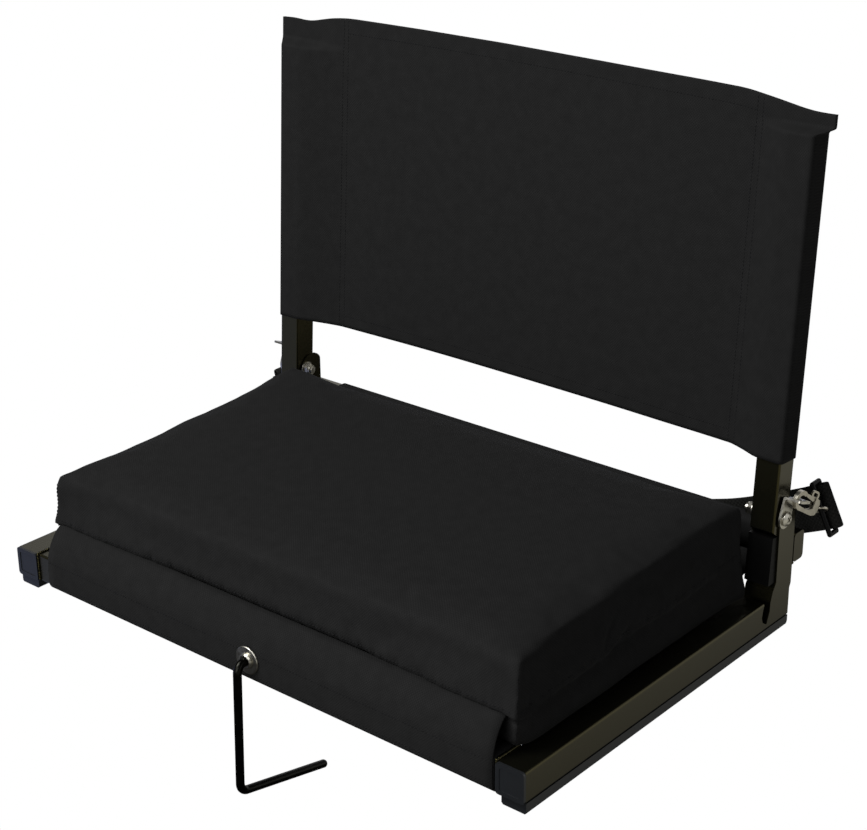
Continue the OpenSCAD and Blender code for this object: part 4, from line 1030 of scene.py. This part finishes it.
low_z, front_y, rear_y = FZ - FH + FRONT_R, FY + FH - FRONT_R, FY - FH + FRONT_R
loop = [(FY + FH, FZ + FH - FRONT_R - 6), (FY + FH, low_z)]
loop += corner(front_y, low_z, FRONT_R, 0, -90) + corner(rear_y, low_z, FRONT_R, -90, -180)
loop += corner(rear_y, FZ + FH - FRONT_R, FRONT_R, 180, 90)
sag = [(y, under_cushion(y)) for y in np.linspace(SLING_FRONT, RY, 60)]
low_z, high_z, behind = RZ - RHZ + REAR_R, RZ + RHZ - REAR_R, RY + RHY - REAR_R
rear = [(behind, RZ - RHZ)]
rear += corner(behind, low_z, REAR_R, -90, 0) + corner(behind, high_z, REAR_R, 0, 90)
rear += corner(RY - RHY + REAR_R, high_z, REAR_R, 90, 180) + [(RY - RHY, RZ - RHZ + 3)]
sling, sling_run = swept_cloth("sling", np.array(loop + sag + rear), 1.2, SLING_X0, SLING_X1)
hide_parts("seat_sling")
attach(sling, "frame")

# %% The flap in front
# seen from the side, from under the front tube up to the cushion's seam
SKIRT_LINE = np.array([
    (-171.0, 8.6), (-175.0, 9.1), (-176.6, 11.5), (-176.9, 15), (-176.9, 24), (-176.5, 33),
    (-175.9, 38), (-174.9, 41.5), (-173.2, 46.3), (-170.9, 51), (-167.9, 55.6), (-164.8, 59.4),
    (-161.6, 61.6), (-156.8, 62.0),
])
fine = np.linspace(0, len(SKIRT_LINE) - 1, 40)
skirt_line = np.column_stack([np.interp(fine, range(len(SKIRT_LINE)), c) for c in SKIRT_LINE.T])
skirt, skirt_run = swept_cloth("skirt", skirt_line, 1.1, SLING_X0 - 1.5, SLING_X1,
                               flare=lambda f: (1.5 * f * f, -1.5 * f * f))
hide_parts("cushion_skirt")
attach(skirt, "frame")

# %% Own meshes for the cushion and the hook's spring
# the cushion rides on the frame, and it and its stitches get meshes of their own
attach(cushion, "frame")
for soft in (cushion, cushion_seams):
    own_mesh(soft)

# the hook's spring gets a mesh of its own
spring = nodes["hook_spring"]
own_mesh(spring)

# %% Stitches of the skirt and the strap
skirt_rows = []
for height in (14, 33.5):
    row = [(x, -182, height) for x in np.linspace(-231, 245, 160)]
    skirt_rows.append(laid_on(skirt, row))
row_along("skirt_stitches", skirt_rows, THREAD, "frame", "woven_black",
          seed=9, pitch=3.2, length=2.3, width=0.7)
box_rows = []
for side in (-1, 1):
    bar, _, _ = ring_axes(side)
    for out in (-12, -28) if side > 0 else (-11, -21):
        across_row = [at_ring(side, out, TAIL + 3) + bar * w for w in np.linspace(-16, 16, 14)]
        box_rows.append(laid_on(strap, [p * [side, 1, 1] for p in across_row]))
row_along("strap_stitches", box_rows, THREAD, "strap", "webbing",
          seed=11, pitch=3.0, length=2.2, width=0.8)

# %% [markdown]
# ## Stage and light
# The chair hangs over a pale floor, as it would over the gap in front of a bench. Behind it
# the studio is a white sweep and toward the viewer it is a dark room, as studios are. In the
# paint the floor mirrors bright to the right, dark under the seat and bluish on the left. To
# the camera both floor and world are plain white. As lamps they are dim, so that the black
# cloth keeps its depth.

# %% Stage
SWEEP = (0.3, 0.95)  # from the chair toward the white sweep, seen from above
ROOM = 0.06  # how bright the dark side of the studio is in a reflection
AMBIENT = 0.12  # how bright the world is as a lamp
WHITE = "#ffffff"


def light_of(tree, kind, colour, strength):
    return node(tree, kind, {"Color": linear(colour), "Strength": strength}).outputs[0]


def by_ray(tree, lit, mirrored, seen):
    """What lights the chair, what shiny things mirror, and what the camera sees."""
    rays = node(tree, "ShaderNodeLightPath").outputs
    looking = maths(tree, "MAXIMUM", rays["Is Camera Ray"], rays["Is Transmission Ray"])
    lighting = {0: rays["Is Glossy Ray"], 1: lit, 2: mirrored}
    lighting = node(tree, "ShaderNodeMixShader", lighting).outputs[0]
    return node(tree, "ShaderNodeMixShader", {0: looking, 1: lighting, 2: seen}).outputs[0]


floor_paint = bpy.data.materials.new("pale_floor")
floor_paint.use_nodes = True
tree = floor_paint.node_tree
tree.nodes.clear()
place = node(tree, "ShaderNodeTexCoord").outputs["Object"]
east = node(tree, "ShaderNodeSeparateXYZ", {"Vector": place}).outputs["X"]
matt = node(tree, "ShaderNodeBsdfDiffuse", {"Color": linear("#a4a4a4")}).outputs[0]
EMIT = "ShaderNodeEmission"
warm = light_of(tree, EMIT, "#fffdf2", ramp(tree, east, 0.3, 0.5, ROOM / 2, 0.55))
cool = light_of(tree, EMIT, "#c4cfff", ramp(tree, east, -0.25, -0.4, 0.0, 0.5))
both = node(tree, "ShaderNodeAddShader", {0: warm, 1: cool}).outputs[0]
surface = by_ray(tree, matt, both, light_of(tree, EMIT, WHITE, 1.0))
node(tree, "ShaderNodeOutputMaterial", {"Surface": surface})

# %% Floor
FLOOR_Z, REACH = -0.116, 9.0
floor_mesh = bpy.data.meshes.new("floor")
floor_corners = [(x * REACH, y * REACH, FLOOR_Z) for x, y in SQUARE]
floor_mesh.from_pydata(floor_corners, [], [(0, 1, 2, 3)])
floor_mesh.materials.append(floor_paint)
floor = in_scene("floor", floor_mesh)

# %% Studio
world = bpy.data.worlds.new("studio")
bpy.context.scene.world = world
world.use_nodes = True
tree = world.node_tree
tree.nodes.clear()
direction = node(tree, "ShaderNodeTexCoord").outputs["Generated"]
axes = node(tree, "ShaderNodeSeparateXYZ", {"Vector": direction}).outputs
east = maths(tree, "MULTIPLY", axes["X"], SWEEP[0])
toward = maths(tree, "MULTIPLY_ADD", axes["Y"], SWEEP[1], east)
# from the dark room to the sweep, which is white up to halfway overhead and dark above
sweep = ramp(tree, toward, 0.0, 0.45, ROOM, 1.0)
not_overhead = ramp(tree, axes["Z"], 0.45, 0.75, 1.0, ROOM)
BACKDROP = "ShaderNodeBackground"
lit, mirrored, seen = (
    light_of(tree, BACKDROP, WHITE, strength)
    for strength in (AMBIENT, maths(tree, "MULTIPLY", sweep, not_overhead), 1.0)
)
node(tree, "ShaderNodeOutputWorld", {"Surface": by_ray(tree, lit, mirrored, seen)})


# %% Lamps
AIM = Vector((0, 0, 0.1))


def soft_lamp(name, place, size, watts):
    """A round lamp that looks at the chair."""
    data = bpy.data.lights.new(name, "AREA")
    data.shape, data.size, data.energy = "DISK", size, watts
    turn = (AIM - Vector(place)).to_track_quat("-Z", "Y").to_matrix().to_4x4()
    in_scene(name, data).matrix_world = Matrix.Translation(place) @ turn


soft_lamp("key", (-0.9, -1.4, 2.2), 1.4, 66)
soft_lamp("right_low", (2.0, -0.1, 0.5), 1.2, 1.0)
soft_lamp("fill", (0.4, -2.4, 0.9), 1.6, 20)

bpy.context.scene.view_settings.view_transform = "Standard"
